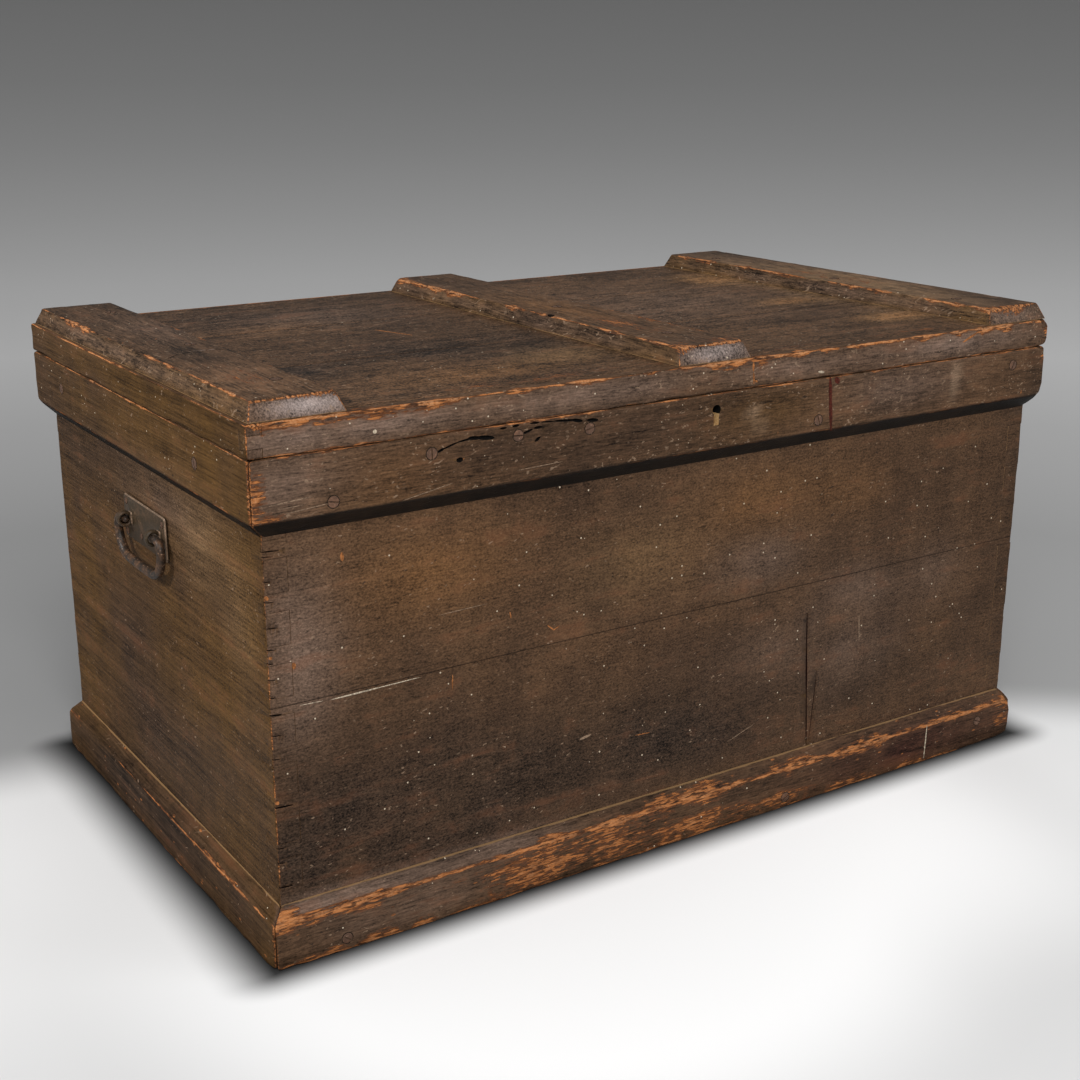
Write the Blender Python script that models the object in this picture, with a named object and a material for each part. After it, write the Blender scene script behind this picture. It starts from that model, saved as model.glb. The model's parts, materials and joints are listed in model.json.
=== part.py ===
"""Pine tool chest with a dovetailed carcass, a battened lid, drop handles, a chest lock and two tills.

Metres, +Z up. The origin is on the floor under the middle of the chest, the front looks along -Y.
"""

import math

import bmesh
import bpy

# Carcass
CARCASS_LENGTH = 0.914
CARCASS_DEPTH = 0.551
WALL = 0.022
EDGE_JOINT_Z = 0.2425
OPENING_Z = 0.463
LIP_HEIGHT = 0.013
BOTTOM_LIFT = 0.002
BOTTOM_THICK = 0.016
BOTTOM_BOARDS = 5

# Gap between pieces that touch
FIT = 0.0003

# Dovetails: tails widen towards their ends by the slope on each side
DOVETAIL_SLOPE = 1 / 6
TAIL_WIDTH = 0.030
TAIL_PITCH = 0.046
RIM_PIN_WIDTH = 0.0115
TILL_TAIL_WIDTH = 0.020
TILL_TAIL_PITCH = 0.036

# Skirt and plinth
SKIRT_THICK = 0.0145
SKIRT_FACE = 0.054
SKIRT_CHAMFER = 0.0145
PLINTH_THICK = 0.013
PLINTH_FACE = 0.044
PLINTH_CHAMFER = 0.013

# Lid
RIM_CLEAR = 0.0005
PANEL_THICK = 0.016
PANEL_BOARD_NAMES = ("front", "middle", "back")
BATTEN_WIDTH = 0.088
BATTEN_THICK = 0.0165
BATTEN_SIDE_BEVEL = 0.006
BATTEN_END_BEVEL = 0.0085
BATTEN_INSET = 0.004
BATTEN_MIDDLE_X = 0.006

# Hinges
HINGE_INSET = 0.157
HINGE_LENGTH = 0.076
KNUCKLE_RADIUS = 0.005
KNUCKLE_GAP = 0.0004
HINGE_PIN_RADIUS = 0.0024
LEAF_WIDTH = 0.032
LEAF_THICK = 0.0022

# Lock
LOCK_X = 0.005
LOCK_LENGTH = 0.090
LOCK_HEIGHT = 0.060
LOCK_DEPTH = 0.017
KEYHOLE_RADIUS = 0.005
KEYHOLE_DROP = 0.0158
KEYHOLE_SLOT_WIDTH = 0.006
KEYHOLE_SLOT_DROP = 0.0147
KEYHOLE_DEPTH = 0.008
BOLT_LENGTH = 0.034
BOLT_THICK = 0.004
BOLT_HEIGHT = 0.008
BOLT_DROP = 0.011
BOLT_THROW = 0.014
BOLT_CLEAR = 0.0005
LINK_X = 0.010
LINK_THICK = 0.004
LINK_WIDTH = 0.0105
LINK_EYE_CLEAR = 0.0009
LINK_TOE = 0.004
LINK_SLOT_CLEAR = 0.0012
LINK_PLATE_LENGTH = 0.060
LINK_PLATE_WIDTH = 0.016
LINK_PLATE_THICK = 0.0025

# Handles
HANDLE_DROP = 0.1285
PLATE_LENGTH = 0.113
PLATE_HEIGHT = 0.044
PLATE_THICK = 0.003
PLATE_CORNER = 0.004
EYE_SPACING = 0.078
EYE_RADIUS = 0.008
EYE_THICK = 0.007
EYE_STANDOFF = 0.0095
BAIL_RADIUS = 0.0044
BAIL_GRIP_RADIUS = 0.00506
BAIL_EYE_CLEAR = 0.0005
BAIL_WIDTH = 0.118
BAIL_DROP = 0.038
BAIL_SHOULDER_BEND = 0.009
BAIL_CORNER_BEND = 0.027
BAIL_TIP = 0.004

# Tills and their runners
RUNNER_THICK = 0.014
RUNNER_HEIGHT = 0.018
TILL_WALL = 0.009
TILL_BOTTOM = 0.007
TILL_END_CLEAR = 0.001
TILL_BACK_CLEAR = 0.002
UPPER_TILL_TOP_GAP = 0.008
UPPER_TILL_HEIGHT = 0.075
UPPER_TILL_DEPTH = 0.200
LOWER_TILL_TOP_GAP = 0.006
LOWER_TILL_HEIGHT = 0.090
LOWER_TILL_DEPTH = 0.240

# Facets of round pieces
ROUND_STEPS = 24
BEND_STEPS = 6
RUN_STEPS = 6

# Places that follow from the sizes above
TOTAL_DEPTH = CARCASS_DEPTH + 2 * SKIRT_THICK + KNUCKLE_GAP + 2 * KNUCKLE_RADIUS
HALF_LENGTH = CARCASS_LENGTH / 2
HALF_INNER = HALF_LENGTH - WALL
HALF_OUTER = HALF_LENGTH + SKIRT_THICK
FRONT_OUTER_Y = -TOTAL_DEPTH / 2
FRONT_Y = FRONT_OUTER_Y + SKIRT_THICK
FRONT_INNER_Y = FRONT_Y + WALL
BACK_Y = FRONT_Y + CARCASS_DEPTH
BACK_INNER_Y = BACK_Y - WALL
BACK_OUTER_Y = BACK_Y + SKIRT_THICK
MIDDLE_Y = (FRONT_Y + BACK_Y) / 2
WALL_LOW_Z = BOTTOM_LIFT + BOTTOM_THICK + FIT
CARCASS_TOP_Z = OPENING_Z + LIP_HEIGHT
PANEL_LOW_Z = CARCASS_TOP_Z + FIT
LID_TOP_Z = PANEL_LOW_Z + PANEL_THICK
RIM_LOW_Z = OPENING_Z + FIT
RIM_THICK = SKIRT_THICK - RIM_CLEAR
HINGE_Y = BACK_OUTER_Y + KNUCKLE_GAP + KNUCKLE_RADIUS
HINGE_Z = (CARCASS_TOP_Z + PANEL_LOW_Z) / 2
HINGE_X = HALF_LENGTH - HINGE_INSET
HANDLE_Z = OPENING_Z - HANDLE_DROP
KEYHOLE_CENTRE_Z = OPENING_Z - KEYHOLE_DROP
LOCK_Y = FRONT_INNER_Y - LOCK_DEPTH / 2
BOLT_Z = CARCASS_TOP_Z - BOLT_DROP
UPPER_TILL_TOP_Z = CARCASS_TOP_Z - UPPER_TILL_TOP_GAP
UPPER_RUNNER_TOP_Z = UPPER_TILL_TOP_Z - UPPER_TILL_HEIGHT - FIT
LOWER_TILL_TOP_Z = UPPER_RUNNER_TOP_Z - RUNNER_HEIGHT - LOWER_TILL_TOP_GAP
LOWER_RUNNER_TOP_Z = LOWER_TILL_TOP_Z - LOWER_TILL_HEIGHT - FIT


def clear_scene():
    for item in list(bpy.data.objects):
        bpy.data.objects.remove(item, do_unlink=True)


def make_material(name, colour, roughness, metallic):
    material = bpy.data.materials.new(name)
    material.use_nodes = True
    shader = material.node_tree.nodes["Principled BSDF"]
    shader.inputs["Base Color"].default_value = (*colour, 1)
    shader.inputs["Roughness"].default_value = roughness
    shader.inputs["Metallic"].default_value = metallic
    material.diffuse_color = (*colour, 1)
    return material


def make_axis(name, place):
    """An empty that the pieces of one moving body hang on."""
    axis = bpy.data.objects.new(name, None)
    axis.location = place
    bpy.context.scene.collection.objects.link(axis)
    return axis


def make_object(name, mesh_builder, material, parent=None):
    """The built mesh, given in world places, as an object that hangs on the parent."""
    if parent is not None:
        bmesh.ops.translate(mesh_builder, verts=mesh_builder.verts, vec=-parent.location)
    bmesh.ops.recalc_face_normals(mesh_builder, faces=mesh_builder.faces)
    mesh = bpy.data.meshes.new(name)
    mesh_builder.to_mesh(mesh)
    mesh_builder.free()
    piece = bpy.data.objects.new(name, mesh)
    piece.parent = parent
    if material is not None:
        mesh.materials.append(material)
    bpy.context.scene.collection.objects.link(piece)
    return piece


def cut(piece, cutter, operation="DIFFERENCE"):
    """A live Boolean on the piece. The other mesh stays in the file as a wire helper."""
    cutter.hide_render = True
    cutter.display_type = "WIRE"
    modifier = piece.modifiers.new(cutter.name, "BOOLEAN")
    modifier.operation = operation
    modifier.solver = "EXACT"
    modifier.object = cutter


def shade_round(piece):
    piece.data.shade_smooth()
    piece.data.set_sharp_from_angle(angle=math.radians(35))


def make_block(name, low, high, material, parent=None):
    """A rectangular piece between two corners."""
    build = bmesh.new()
    bmesh.ops.create_cube(build, size=1)
    size = [b - a for a, b in zip(low, high)]
    middle = [(a + b) / 2 for a, b in zip(low, high)]
    bmesh.ops.scale(build, verts=build.verts, vec=size)
    bmesh.ops.translate(build, verts=build.verts, vec=middle)
    return make_object(name, build, material, parent)


def extrude_outline(build, corners, direction):
    """One closed prism from a flat outline."""
    face = build.faces.new([build.verts.new(corner) for corner in corners])
    grown = bmesh.ops.extrude_face_region(build, geom=[face], use_keep_orig=True)
    moved = [item for item in grown["geom"] if isinstance(item, bmesh.types.BMVert)]
    bmesh.ops.translate(build, verts=moved, vec=direction)


def make_round(name, middle, radius, length, axis, material, parent=None):
    """A cylinder along X or Y about its middle."""
    build = bmesh.new()
    bmesh.ops.create_cone(
        build, cap_ends=True, segments=ROUND_STEPS, radius1=radius, radius2=radius, depth=length
    )
    for vertex in build.verts:
        x, y, z = vertex.co
        vertex.co = (z, x, y) if axis == "X" else (y, z, x)
    bmesh.ops.translate(build, verts=build.verts, vec=middle)
    return make_object(name, build, material, parent)


def pins_between_tails(low, high, pitch, width):
    """Heights (from, to) of the pins on their outer face, with tails of this width at about this pitch."""
    count = max(1, round((high - low) / pitch))
    step = (high - low) / count
    tails = [low + step * (i + 0.5) for i in range(count)]
    edges = [low] + [tail + side * width / 2 for tail in tails for side in (-1, 1)] + [high]
    return list(zip(edges[::2], edges[1::2]))


def widened(pin, low, high, by):
    """The pin's heights a little wider on each side, but not past the board's own edges."""
    return (pin[0] - by if pin[0] > low else low, pin[1] + by if pin[1] < high else high)


def tail_end(y_end, inward, socket, z_low, z_high, pins):
    """Outline (y, z) of a tail board's end, upwards. The sockets for the pins widen inward by the slope."""
    root = y_end + inward * socket
    points = []
    if not pins or pins[0][0] > z_low:
        points.append((y_end, z_low))
    for pin in pins:
        wide = widened(pin, z_low, z_high, DOVETAIL_SLOPE * socket)
        if pin[0] > z_low:
            points.append((y_end, pin[0]))
        points.append((root, wide[0]))
        points.append((root, wide[1]))
        if pin[1] < z_high:
            points.append((y_end, pin[1]))
    if not pins or pins[-1][1] < z_high:
        points.append((y_end, z_high))
    return points


def make_tail_board(name, x_low, x_high, ends, sockets, z_low, z_high, pins, material, parent=None):
    """A board along Y whose ends carry tails. A socket depth of 0 leaves that end plain."""
    outline = []
    for y_end, inward, socket in zip(ends, (1, -1), sockets):
        side = tail_end(y_end, inward, socket, z_low, z_high, pins if socket else [])
        outline += side if inward < 0 else side[::-1]
    build = bmesh.new()
    extrude_outline(build, [(x_low, y, z) for y, z in outline], (x_high - x_low, 0, 0))
    return make_object(name, build, material, parent)


def make_pin_board(name, half_length, reach, y_outer, y_inner, z_low, z_high, pins, material, parent=None):
    """A board along X whose ends carry pins as long as reach. The pins widen towards the inner face."""
    narrow = [widened(pin, z_low, z_high, -FIT) for pin in pins]
    by = DOVETAIL_SLOPE * abs(y_inner - y_outer)
    wide = [widened(pin, z_low, z_high, by) for pin in narrow]
    outer_z = sorted({z_low, z_high} | {z for pin in narrow for z in pin})
    inner_z = sorted({z_low, z_high} | {z for pin in wide for z in pin})
    shoulder = half_length - reach
    build = bmesh.new()
    columns = []
    strips = []
    for end in (-1, 1):
        outer = [build.verts.new((end * shoulder, y_outer, z)) for z in outer_z]
        inner = [build.verts.new((end * shoulder, y_inner, z)) for z in inner_z]
        columns.append((outer, inner))
        for i in range(len(outer_z) - 1):
            strip = build.faces.new((outer[i], outer[i + 1], inner[i + 1], inner[i]))
            if (outer_z[i], outer_z[i + 1]) in narrow:
                strips.append((strip, end * reach))
    (left_outer, left_inner), (right_outer, right_inner) = columns
    build.faces.new(left_outer + right_outer[::-1])
    build.faces.new(left_inner + right_inner[::-1])
    for level in (0, -1):
        build.faces.new((left_outer[level], right_outer[level], right_inner[level], left_inner[level]))
    bmesh.ops.recalc_face_normals(build, faces=build.faces)
    for strip, length in strips:
        grown = bmesh.ops.extrude_discrete_faces(build, faces=[strip])
        bmesh.ops.translate(build, verts=grown["faces"][0].verts, vec=(length, 0, 0))
    return make_object(name, build, material, parent)


def make_mitred_board(name, side, profile, material):
    """One side of a frame round the carcass. The profile lists (distance out from the carcass, height)."""
    half_depth = CARCASS_DEPTH / 2
    build = bmesh.new()
    rings = []
    for end in (-1, 1):
        ring = []
        for out, z in profile:
            if side in ("front", "back"):
                sign = -1 if side == "front" else 1
                place = (end * (HALF_LENGTH + out - FIT), MIDDLE_Y + sign * (half_depth + out), z)
            else:
                sign = -1 if side == "left" else 1
                place = (sign * (HALF_LENGTH + out), MIDDLE_Y + end * (half_depth + out - FIT), z)
            ring.append(build.verts.new(place))
        rings.append(ring)
    count = len(profile)
    for i in range(count):
        j = (i + 1) % count
        build.faces.new((rings[0][i], rings[0][j], rings[1][j], rings[1][i]))
    build.faces.new(rings[0])
    build.faces.new(rings[1])
    return make_object(name, build, material)


def arc_points(centre, radius, start, end, steps):
    """Points on an arc in a plane, angles in degrees."""
    angles = [math.radians(start + (end - start) * i / steps) for i in range(steps + 1)]
    return [(centre[0] + radius * math.cos(a), centre[1] + radius * math.sin(a)) for a in angles]


def build_carcass(wood, raw_wood):
    levels = {"lower": (WALL_LOW_Z, EDGE_JOINT_Z), "upper": (EDGE_JOINT_Z + FIT, CARCASS_TOP_Z)}
    pieces = {}
    for level, (z_low, z_high) in levels.items():
        pins = pins_between_tails(z_low, z_high, TAIL_PITCH, TAIL_WIDTH)
        for side, y_outer, y_inner in (("front", FRONT_Y, FRONT_INNER_Y), ("back", BACK_Y, BACK_INNER_Y)):
            name = f"{side}_{level}_board"
            pieces[name] = make_pin_board(
                name, HALF_LENGTH, WALL + FIT, y_outer, y_inner, z_low, z_high, pins, wood
            )
        ends = (FRONT_Y, BACK_Y)
        sockets = (WALL + FIT, WALL + FIT)
        for side, sign in (("left", -1), ("right", 1)):
            name = f"{side}_{level}_board"
            pieces[name] = make_tail_board(
                name, sign * HALF_INNER, sign * HALF_LENGTH, ends, sockets, z_low, z_high, pins, wood
            )
    board_width = (CARCASS_LENGTH - (BOTTOM_BOARDS - 1) * FIT) / BOTTOM_BOARDS
    for i in range(BOTTOM_BOARDS):
        x = -HALF_LENGTH + i * (board_width + FIT)
        low = (x, FRONT_Y, BOTTOM_LIFT)
        high = (x + board_width, BACK_Y, BOTTOM_LIFT + BOTTOM_THICK)
        make_block(f"bottom_board_{i + 1}", low, high, raw_wood)
    return pieces


def build_skirt_and_plinth(wood):
    skirt_edge_z = OPENING_Z - SKIRT_FACE
    skirt = (
        (FIT, OPENING_Z),
        (SKIRT_THICK, OPENING_Z),
        (SKIRT_THICK, skirt_edge_z),
        (FIT, skirt_edge_z - SKIRT_CHAMFER),
    )
    plinth = ((FIT, 0), (PLINTH_THICK, 0), (PLINTH_THICK, PLINTH_FACE), (FIT, PLINTH_FACE + PLINTH_CHAMFER))
    pieces = {}
    for side in ("front", "back", "left", "right"):
        for kind, profile in (("skirt", skirt), ("plinth", plinth)):
            name = f"{kind}_{side}"
            pieces[name] = make_mitred_board(name, side, profile, wood)
    low = (-HALF_LENGTH, BACK_Y + FIT, OPENING_Z + FIT)
    high = (HALF_LENGTH, BACK_OUTER_Y, CARCASS_TOP_Z)
    pieces["hinge_rail"] = make_block("hinge_rail", low, high, wood)
    return pieces


def make_batten(name, x, wood, axis):
    """A batten bevelled on all four upper edges, from the front of the lid to the back."""
    low = (x - BATTEN_WIDTH / 2, FRONT_OUTER_Y + BATTEN_INSET)
    high = (x + BATTEN_WIDTH / 2, BACK_OUTER_Y - BATTEN_INSET)
    foot_z = LID_TOP_Z + FIT
    top_z = foot_z + BATTEN_THICK
    build = bmesh.new()
    foot = [(low[0], low[1]), (high[0], low[1]), (high[0], high[1]), (low[0], high[1])]
    face = build.faces.new([build.verts.new((px, py, foot_z)) for px, py in foot])
    grown = bmesh.ops.extrude_face_region(build, geom=[face], use_keep_orig=True)
    for item in grown["geom"]:
        if isinstance(item, bmesh.types.BMVert):
            item.co.x -= math.copysign(BATTEN_SIDE_BEVEL, item.co.x - x)
            item.co.y -= math.copysign(BATTEN_END_BEVEL, item.co.y - MIDDLE_Y)
            item.co.z = top_z
    return make_object(name, build, wood, axis)


def build_lid(wood, axis):
    pieces = {}
    rim_middle_z = (RIM_LOW_Z + LID_TOP_Z) / 2
    pins = [(rim_middle_z - RIM_PIN_WIDTH / 2, rim_middle_z + RIM_PIN_WIDTH / 2)]
    rim_inner_y = FRONT_OUTER_Y + RIM_THICK
    reach = RIM_THICK + FIT
    make_pin_board(
        "rim_front", HALF_OUTER, reach, FRONT_OUTER_Y, rim_inner_y, RIM_LOW_Z, LID_TOP_Z, pins, wood, axis
    )
    ends = (FRONT_OUTER_Y, BACK_OUTER_Y)
    sockets = (reach, 0)
    for side, sign in (("left", -1), ("right", 1)):
        x_inner = sign * (HALF_OUTER - RIM_THICK)
        make_tail_board(
            f"rim_{side}", x_inner, sign * HALF_OUTER, ends, sockets, RIM_LOW_Z, LID_TOP_Z, pins, wood, axis
        )
    half_panel = HALF_OUTER - RIM_THICK - FIT
    first_y = rim_inner_y + FIT
    boards = len(PANEL_BOARD_NAMES)
    width = (BACK_OUTER_Y - first_y - (boards - 1) * FIT) / boards
    for i, place in enumerate(PANEL_BOARD_NAMES):
        y = first_y + i * (width + FIT)
        name = f"lid_{place}_board"
        low = (-half_panel, y, PANEL_LOW_Z)
        high = (half_panel, y + width, LID_TOP_Z)
        pieces[name] = make_block(name, low, high, wood, axis)
    side_x = HALF_OUTER - BATTEN_INSET - BATTEN_WIDTH / 2
    for place, x in (("left", -side_x), ("middle", BATTEN_MIDDLE_X), ("right", side_x)):
        make_batten(f"batten_{place}", x, wood, axis)
    return pieces


def make_leaf(name, x, sign, own_knuckles, iron, axis):
    """One leaf with its knuckles. sign is -1 for the leaf on the chest and 1 for the leaf on the lid."""
    knuckle = HINGE_LENGTH / 3
    inner_y = BACK_OUTER_Y - LEAF_WIDTH
    clear_y = HINGE_Y - KNUCKLE_RADIUS - KNUCKLE_GAP
    flat_z = CARCASS_TOP_Z - LEAF_THICK if sign < 0 else PANEL_LOW_Z
    start = x - HINGE_LENGTH / 2
    outline = [(start, inner_y), (start + HINGE_LENGTH, inner_y)]
    for i in (2, 1, 0):
        reach = HINGE_Y if i in own_knuckles else clear_y
        outline.append((start + (i + 1) * knuckle - KNUCKLE_GAP, reach))
        outline.append((start + i * knuckle + KNUCKLE_GAP, reach))
    outline = [(min(max(px, start), start + HINGE_LENGTH), py) for px, py in outline]
    build = bmesh.new()
    extrude_outline(build, [(px, py, flat_z) for px, py in outline], (0, 0, LEAF_THICK))
    leaf = make_object(name, build, iron, axis)
    for i in own_knuckles:
        middle = (start + (i + 0.5) * knuckle, HINGE_Y, HINGE_Z)
        barrel = make_round(
            f"{name}_barrel_{i}", middle, KNUCKLE_RADIUS, knuckle - 2 * KNUCKLE_GAP, "X", None, axis
        )
        cut(leaf, barrel, "UNION")
    bore = make_round(
        f"{name}_bore", (x, HINGE_Y, HINGE_Z), HINGE_PIN_RADIUS + FIT, 2 * HINGE_LENGTH, "X", None, axis
    )
    cut(leaf, bore)
    shade_round(leaf)


def build_hinges(iron, axis, rail, back_board, lid_board):
    for side, x in (("left", -HINGE_X), ("right", HINGE_X)):
        make_leaf(f"{side}_hinge_chest_leaf", x, -1, (0, 2), iron, None)
        make_leaf(f"{side}_hinge_lid_leaf", x, 1, (1,), iron, axis)
        pin_length = HINGE_LENGTH - 2 * KNUCKLE_GAP
        pin = make_round(f"{side}_hinge_pin", (x, HINGE_Y, HINGE_Z), HINGE_PIN_RADIUS, pin_length, "X", iron)
        shade_round(pin)
        half = HINGE_LENGTH / 2 + FIT
        inner_y = BACK_OUTER_Y - LEAF_WIDTH - FIT
        lower = make_block(
            f"{side}_chest_gain",
            (x - half, inner_y, CARCASS_TOP_Z - LEAF_THICK - FIT),
            (x + half, HINGE_Y, HINGE_Z),
            None,
        )
        upper = make_block(
            f"{side}_lid_gain",
            (x - half, inner_y, HINGE_Z),
            (x + half, HINGE_Y, PANEL_LOW_Z + LEAF_THICK + FIT),
            None,
            axis,
        )
        cut(rail, lower)
        cut(back_board, lower)
        cut(lid_board, upper)


def make_keyhole_cutter():
    """Round top and straight slot, from in front of the skirt into the lock."""
    half_slot = KEYHOLE_SLOT_WIDTH / 2
    meet = math.degrees(math.asin(half_slot / KEYHOLE_RADIUS))
    top = arc_points((LOCK_X, KEYHOLE_CENTRE_Z), KEYHOLE_RADIUS, meet - 90, 270 - meet, ROUND_STEPS)
    foot_z = KEYHOLE_CENTRE_Z - KEYHOLE_SLOT_DROP
    outline = top + [(LOCK_X - half_slot, foot_z), (LOCK_X + half_slot, foot_z)]
    start_y = FRONT_OUTER_Y - SKIRT_THICK
    end_y = FRONT_INNER_Y - LOCK_DEPTH + KEYHOLE_DEPTH
    build = bmesh.new()
    extrude_outline(build, [(x, start_y, z) for x, z in outline], (0, end_y - start_y, 0))
    return make_object("keyhole", build, None)


def build_lock(iron, axis, skirt, front_board, lid_board):
    half = LOCK_LENGTH / 2
    low_z = CARCASS_TOP_Z - LOCK_HEIGHT
    case = make_block(
        "lock_case",
        (LOCK_X - half, FRONT_INNER_Y - LOCK_DEPTH, low_z),
        (LOCK_X + half, FRONT_INNER_Y, CARCASS_TOP_Z),
        iron,
    )
    pocket = make_block(
        "lock_pocket",
        (LOCK_X - half - FIT, FRONT_INNER_Y - LOCK_DEPTH - FIT, low_z - FIT),
        (LOCK_X + half + FIT, FRONT_INNER_Y + WALL, CARCASS_TOP_Z + WALL),
        None,
    )
    cut(front_board, pocket)
    keyhole = make_keyhole_cutter()
    for piece in (skirt, front_board, case):
        cut(piece, keyhole)

    link_x = LOCK_X + LINK_X
    eye_half_y = BOLT_THICK / 2 + LINK_EYE_CLEAR
    eye_half_z = BOLT_HEIGHT / 2 + LINK_EYE_CLEAR
    toe_z = BOLT_Z - eye_half_z - LINK_TOE
    slot_half_x = LINK_THICK / 2 + LINK_SLOT_CLEAR
    slot_half_y = LINK_WIDTH / 2 + LINK_SLOT_CLEAR
    slot = make_block(
        "link_slot",
        (link_x - slot_half_x, LOCK_Y - slot_half_y, toe_z - LINK_SLOT_CLEAR),
        (link_x + slot_half_x, LOCK_Y + slot_half_y, CARCASS_TOP_Z + WALL),
        None,
    )
    cut(case, slot)
    bolt_end = link_x - slot_half_x - BOLT_CLEAR
    bolt_start = bolt_end - BOLT_LENGTH
    channel_half_y = BOLT_THICK / 2 + BOLT_CLEAR
    channel_half_z = BOLT_HEIGHT / 2 + BOLT_CLEAR
    channel = make_block(
        "bolt_channel",
        (bolt_start - BOLT_CLEAR, LOCK_Y - channel_half_y, BOLT_Z - channel_half_z),
        (bolt_end + BOLT_THROW + BOLT_CLEAR, LOCK_Y + channel_half_y, BOLT_Z + channel_half_z),
        None,
    )
    cut(case, channel)
    slide = make_axis("bolt_slide", ((bolt_start + bolt_end) / 2, LOCK_Y, BOLT_Z))
    make_block(
        "lock_bolt",
        (bolt_start, LOCK_Y - BOLT_THICK / 2, BOLT_Z - BOLT_HEIGHT / 2),
        (bolt_end, LOCK_Y + BOLT_THICK / 2, BOLT_Z + BOLT_HEIGHT / 2),
        iron,
        slide,
    )

    plate_half = LINK_PLATE_LENGTH / 2
    plate_low = (LOCK_X - plate_half, LOCK_Y - LINK_PLATE_WIDTH / 2, PANEL_LOW_Z)
    plate_high = (LOCK_X + plate_half, LOCK_Y + LINK_PLATE_WIDTH / 2, PANEL_LOW_Z + LINK_PLATE_THICK)
    link = make_block("lock_link", plate_low, plate_high, iron, axis)
    shank = make_block(
        "link_shank",
        (link_x - LINK_THICK / 2, LOCK_Y - LINK_WIDTH / 2, toe_z),
        (link_x + LINK_THICK / 2, LOCK_Y + LINK_WIDTH / 2, PANEL_LOW_Z + LINK_PLATE_THICK / 2),
        None,
        axis,
    )
    eye = make_block(
        "link_eye",
        (link_x - LINK_THICK, LOCK_Y - eye_half_y, BOLT_Z - eye_half_z),
        (link_x + LINK_THICK, LOCK_Y + eye_half_y, BOLT_Z + eye_half_z),
        None,
        axis,
    )
    cut(link, shank, "UNION")
    cut(link, eye)
    recess = make_block(
        "link_recess",
        (plate_low[0] - FIT, plate_low[1] - FIT, PANEL_LOW_Z - WALL),
        (plate_high[0] + FIT, plate_high[1] + FIT, plate_high[2] + FIT),
        None,
        axis,
    )
    cut(lid_board, recess)


def bail_points():
    """Half of the bail as (distance along the eyes, drop), from its tip to the middle of the grip."""
    arm = BAIL_WIDTH / 2
    tip = EYE_SPACING / 2 - EYE_THICK / 2 - BAIL_TIP
    bend = BAIL_SHOULDER_BEND
    corner = BAIL_CORNER_BEND
    shoulder = arc_points((arm - bend, -bend), bend, 90, 0, BEND_STEPS)
    elbow = arc_points((arm - corner, corner - BAIL_DROP), corner, 0, -90, BEND_STEPS)
    run = [(arm - corner) * (1 - i / RUN_STEPS) for i in range(1, RUN_STEPS + 1)]
    return [(tip, 0)] + shoulder + elbow + [(y, -BAIL_DROP) for y in run]


def make_bail(name, x, iron):
    """The bail hangs on the axis of its eyes, and its grip is a little thicker than its ends."""
    axis = make_axis(f"{name}_axis", (x, MIDDLE_Y, HANDLE_Z))
    half = bail_points()
    route = half + [(-y, z) for y, z in reversed(half[:-1])]
    curve = bpy.data.curves.new(name, "CURVE")
    curve.dimensions = "3D"
    curve.bevel_depth = BAIL_RADIUS
    curve.bevel_resolution = 2
    curve.use_fill_caps = True
    curve.materials.append(iron)
    spline = curve.splines.new("POLY")
    spline.points.add(len(route) - 1)
    for point, (y, z) in zip(spline.points, route):
        point.co = (0, y, z, 1)
        swell = (BAIL_GRIP_RADIUS - BAIL_RADIUS) * min(1, -z / BAIL_DROP)
        point.radius = (BAIL_RADIUS + swell) / BAIL_RADIUS
    bail = bpy.data.objects.new(name, curve)
    bail.parent = axis
    bpy.context.scene.collection.objects.link(bail)


def build_handle(side, sign, iron):
    face_x = sign * (HALF_LENGTH + FIT)
    outer_x = sign * (HALF_LENGTH + FIT + PLATE_THICK)
    eye_x = sign * (HALF_LENGTH + EYE_STANDOFF)
    half_y = PLATE_LENGTH / 2
    half_z = PLATE_HEIGHT / 2
    inset = PLATE_CORNER
    outline = []
    for angle, sy, sz in ((0, 1, 1), (90, -1, 1), (180, -1, -1), (270, 1, -1)):
        centre = (MIDDLE_Y + sy * (half_y - inset), HANDLE_Z + sz * (half_z - inset))
        outline += arc_points(centre, inset, angle, angle + 90, 3)
    build = bmesh.new()
    extrude_outline(build, [(face_x, y, z) for y, z in outline], (outer_x - face_x, 0, 0))
    plate = make_object(f"{side}_handle_plate", build, iron)
    for place, offset in (("front", -EYE_SPACING / 2), ("back", EYE_SPACING / 2)):
        middle = (eye_x, MIDDLE_Y + offset, HANDLE_Z)
        eye = make_round(f"{side}_{place}_eye", middle, EYE_RADIUS, EYE_THICK, "Y", None)
        cut(plate, eye, "UNION")
    bore = make_round(
        f"{side}_eye_bore",
        (eye_x, MIDDLE_Y, HANDLE_Z),
        BAIL_RADIUS + BAIL_EYE_CLEAR,
        2 * PLATE_LENGTH,
        "Y",
        None,
    )
    cut(plate, bore)
    shade_round(plate)
    make_bail(f"{side}_handle_bail", eye_x, iron)


def build_runners(raw_wood):
    for level, top_z in (("upper", UPPER_RUNNER_TOP_Z), ("lower", LOWER_RUNNER_TOP_Z)):
        for side, sign in (("left", -1), ("right", 1)):
            xs = sorted((sign * (HALF_INNER - FIT), sign * (HALF_INNER - FIT - RUNNER_THICK)))
            low = (xs[0], FRONT_INNER_Y + FIT, top_z - RUNNER_HEIGHT)
            high = (xs[1], BACK_INNER_Y - FIT, top_z)
            make_block(f"{level}_runner_{side}", low, high, raw_wood)


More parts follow.
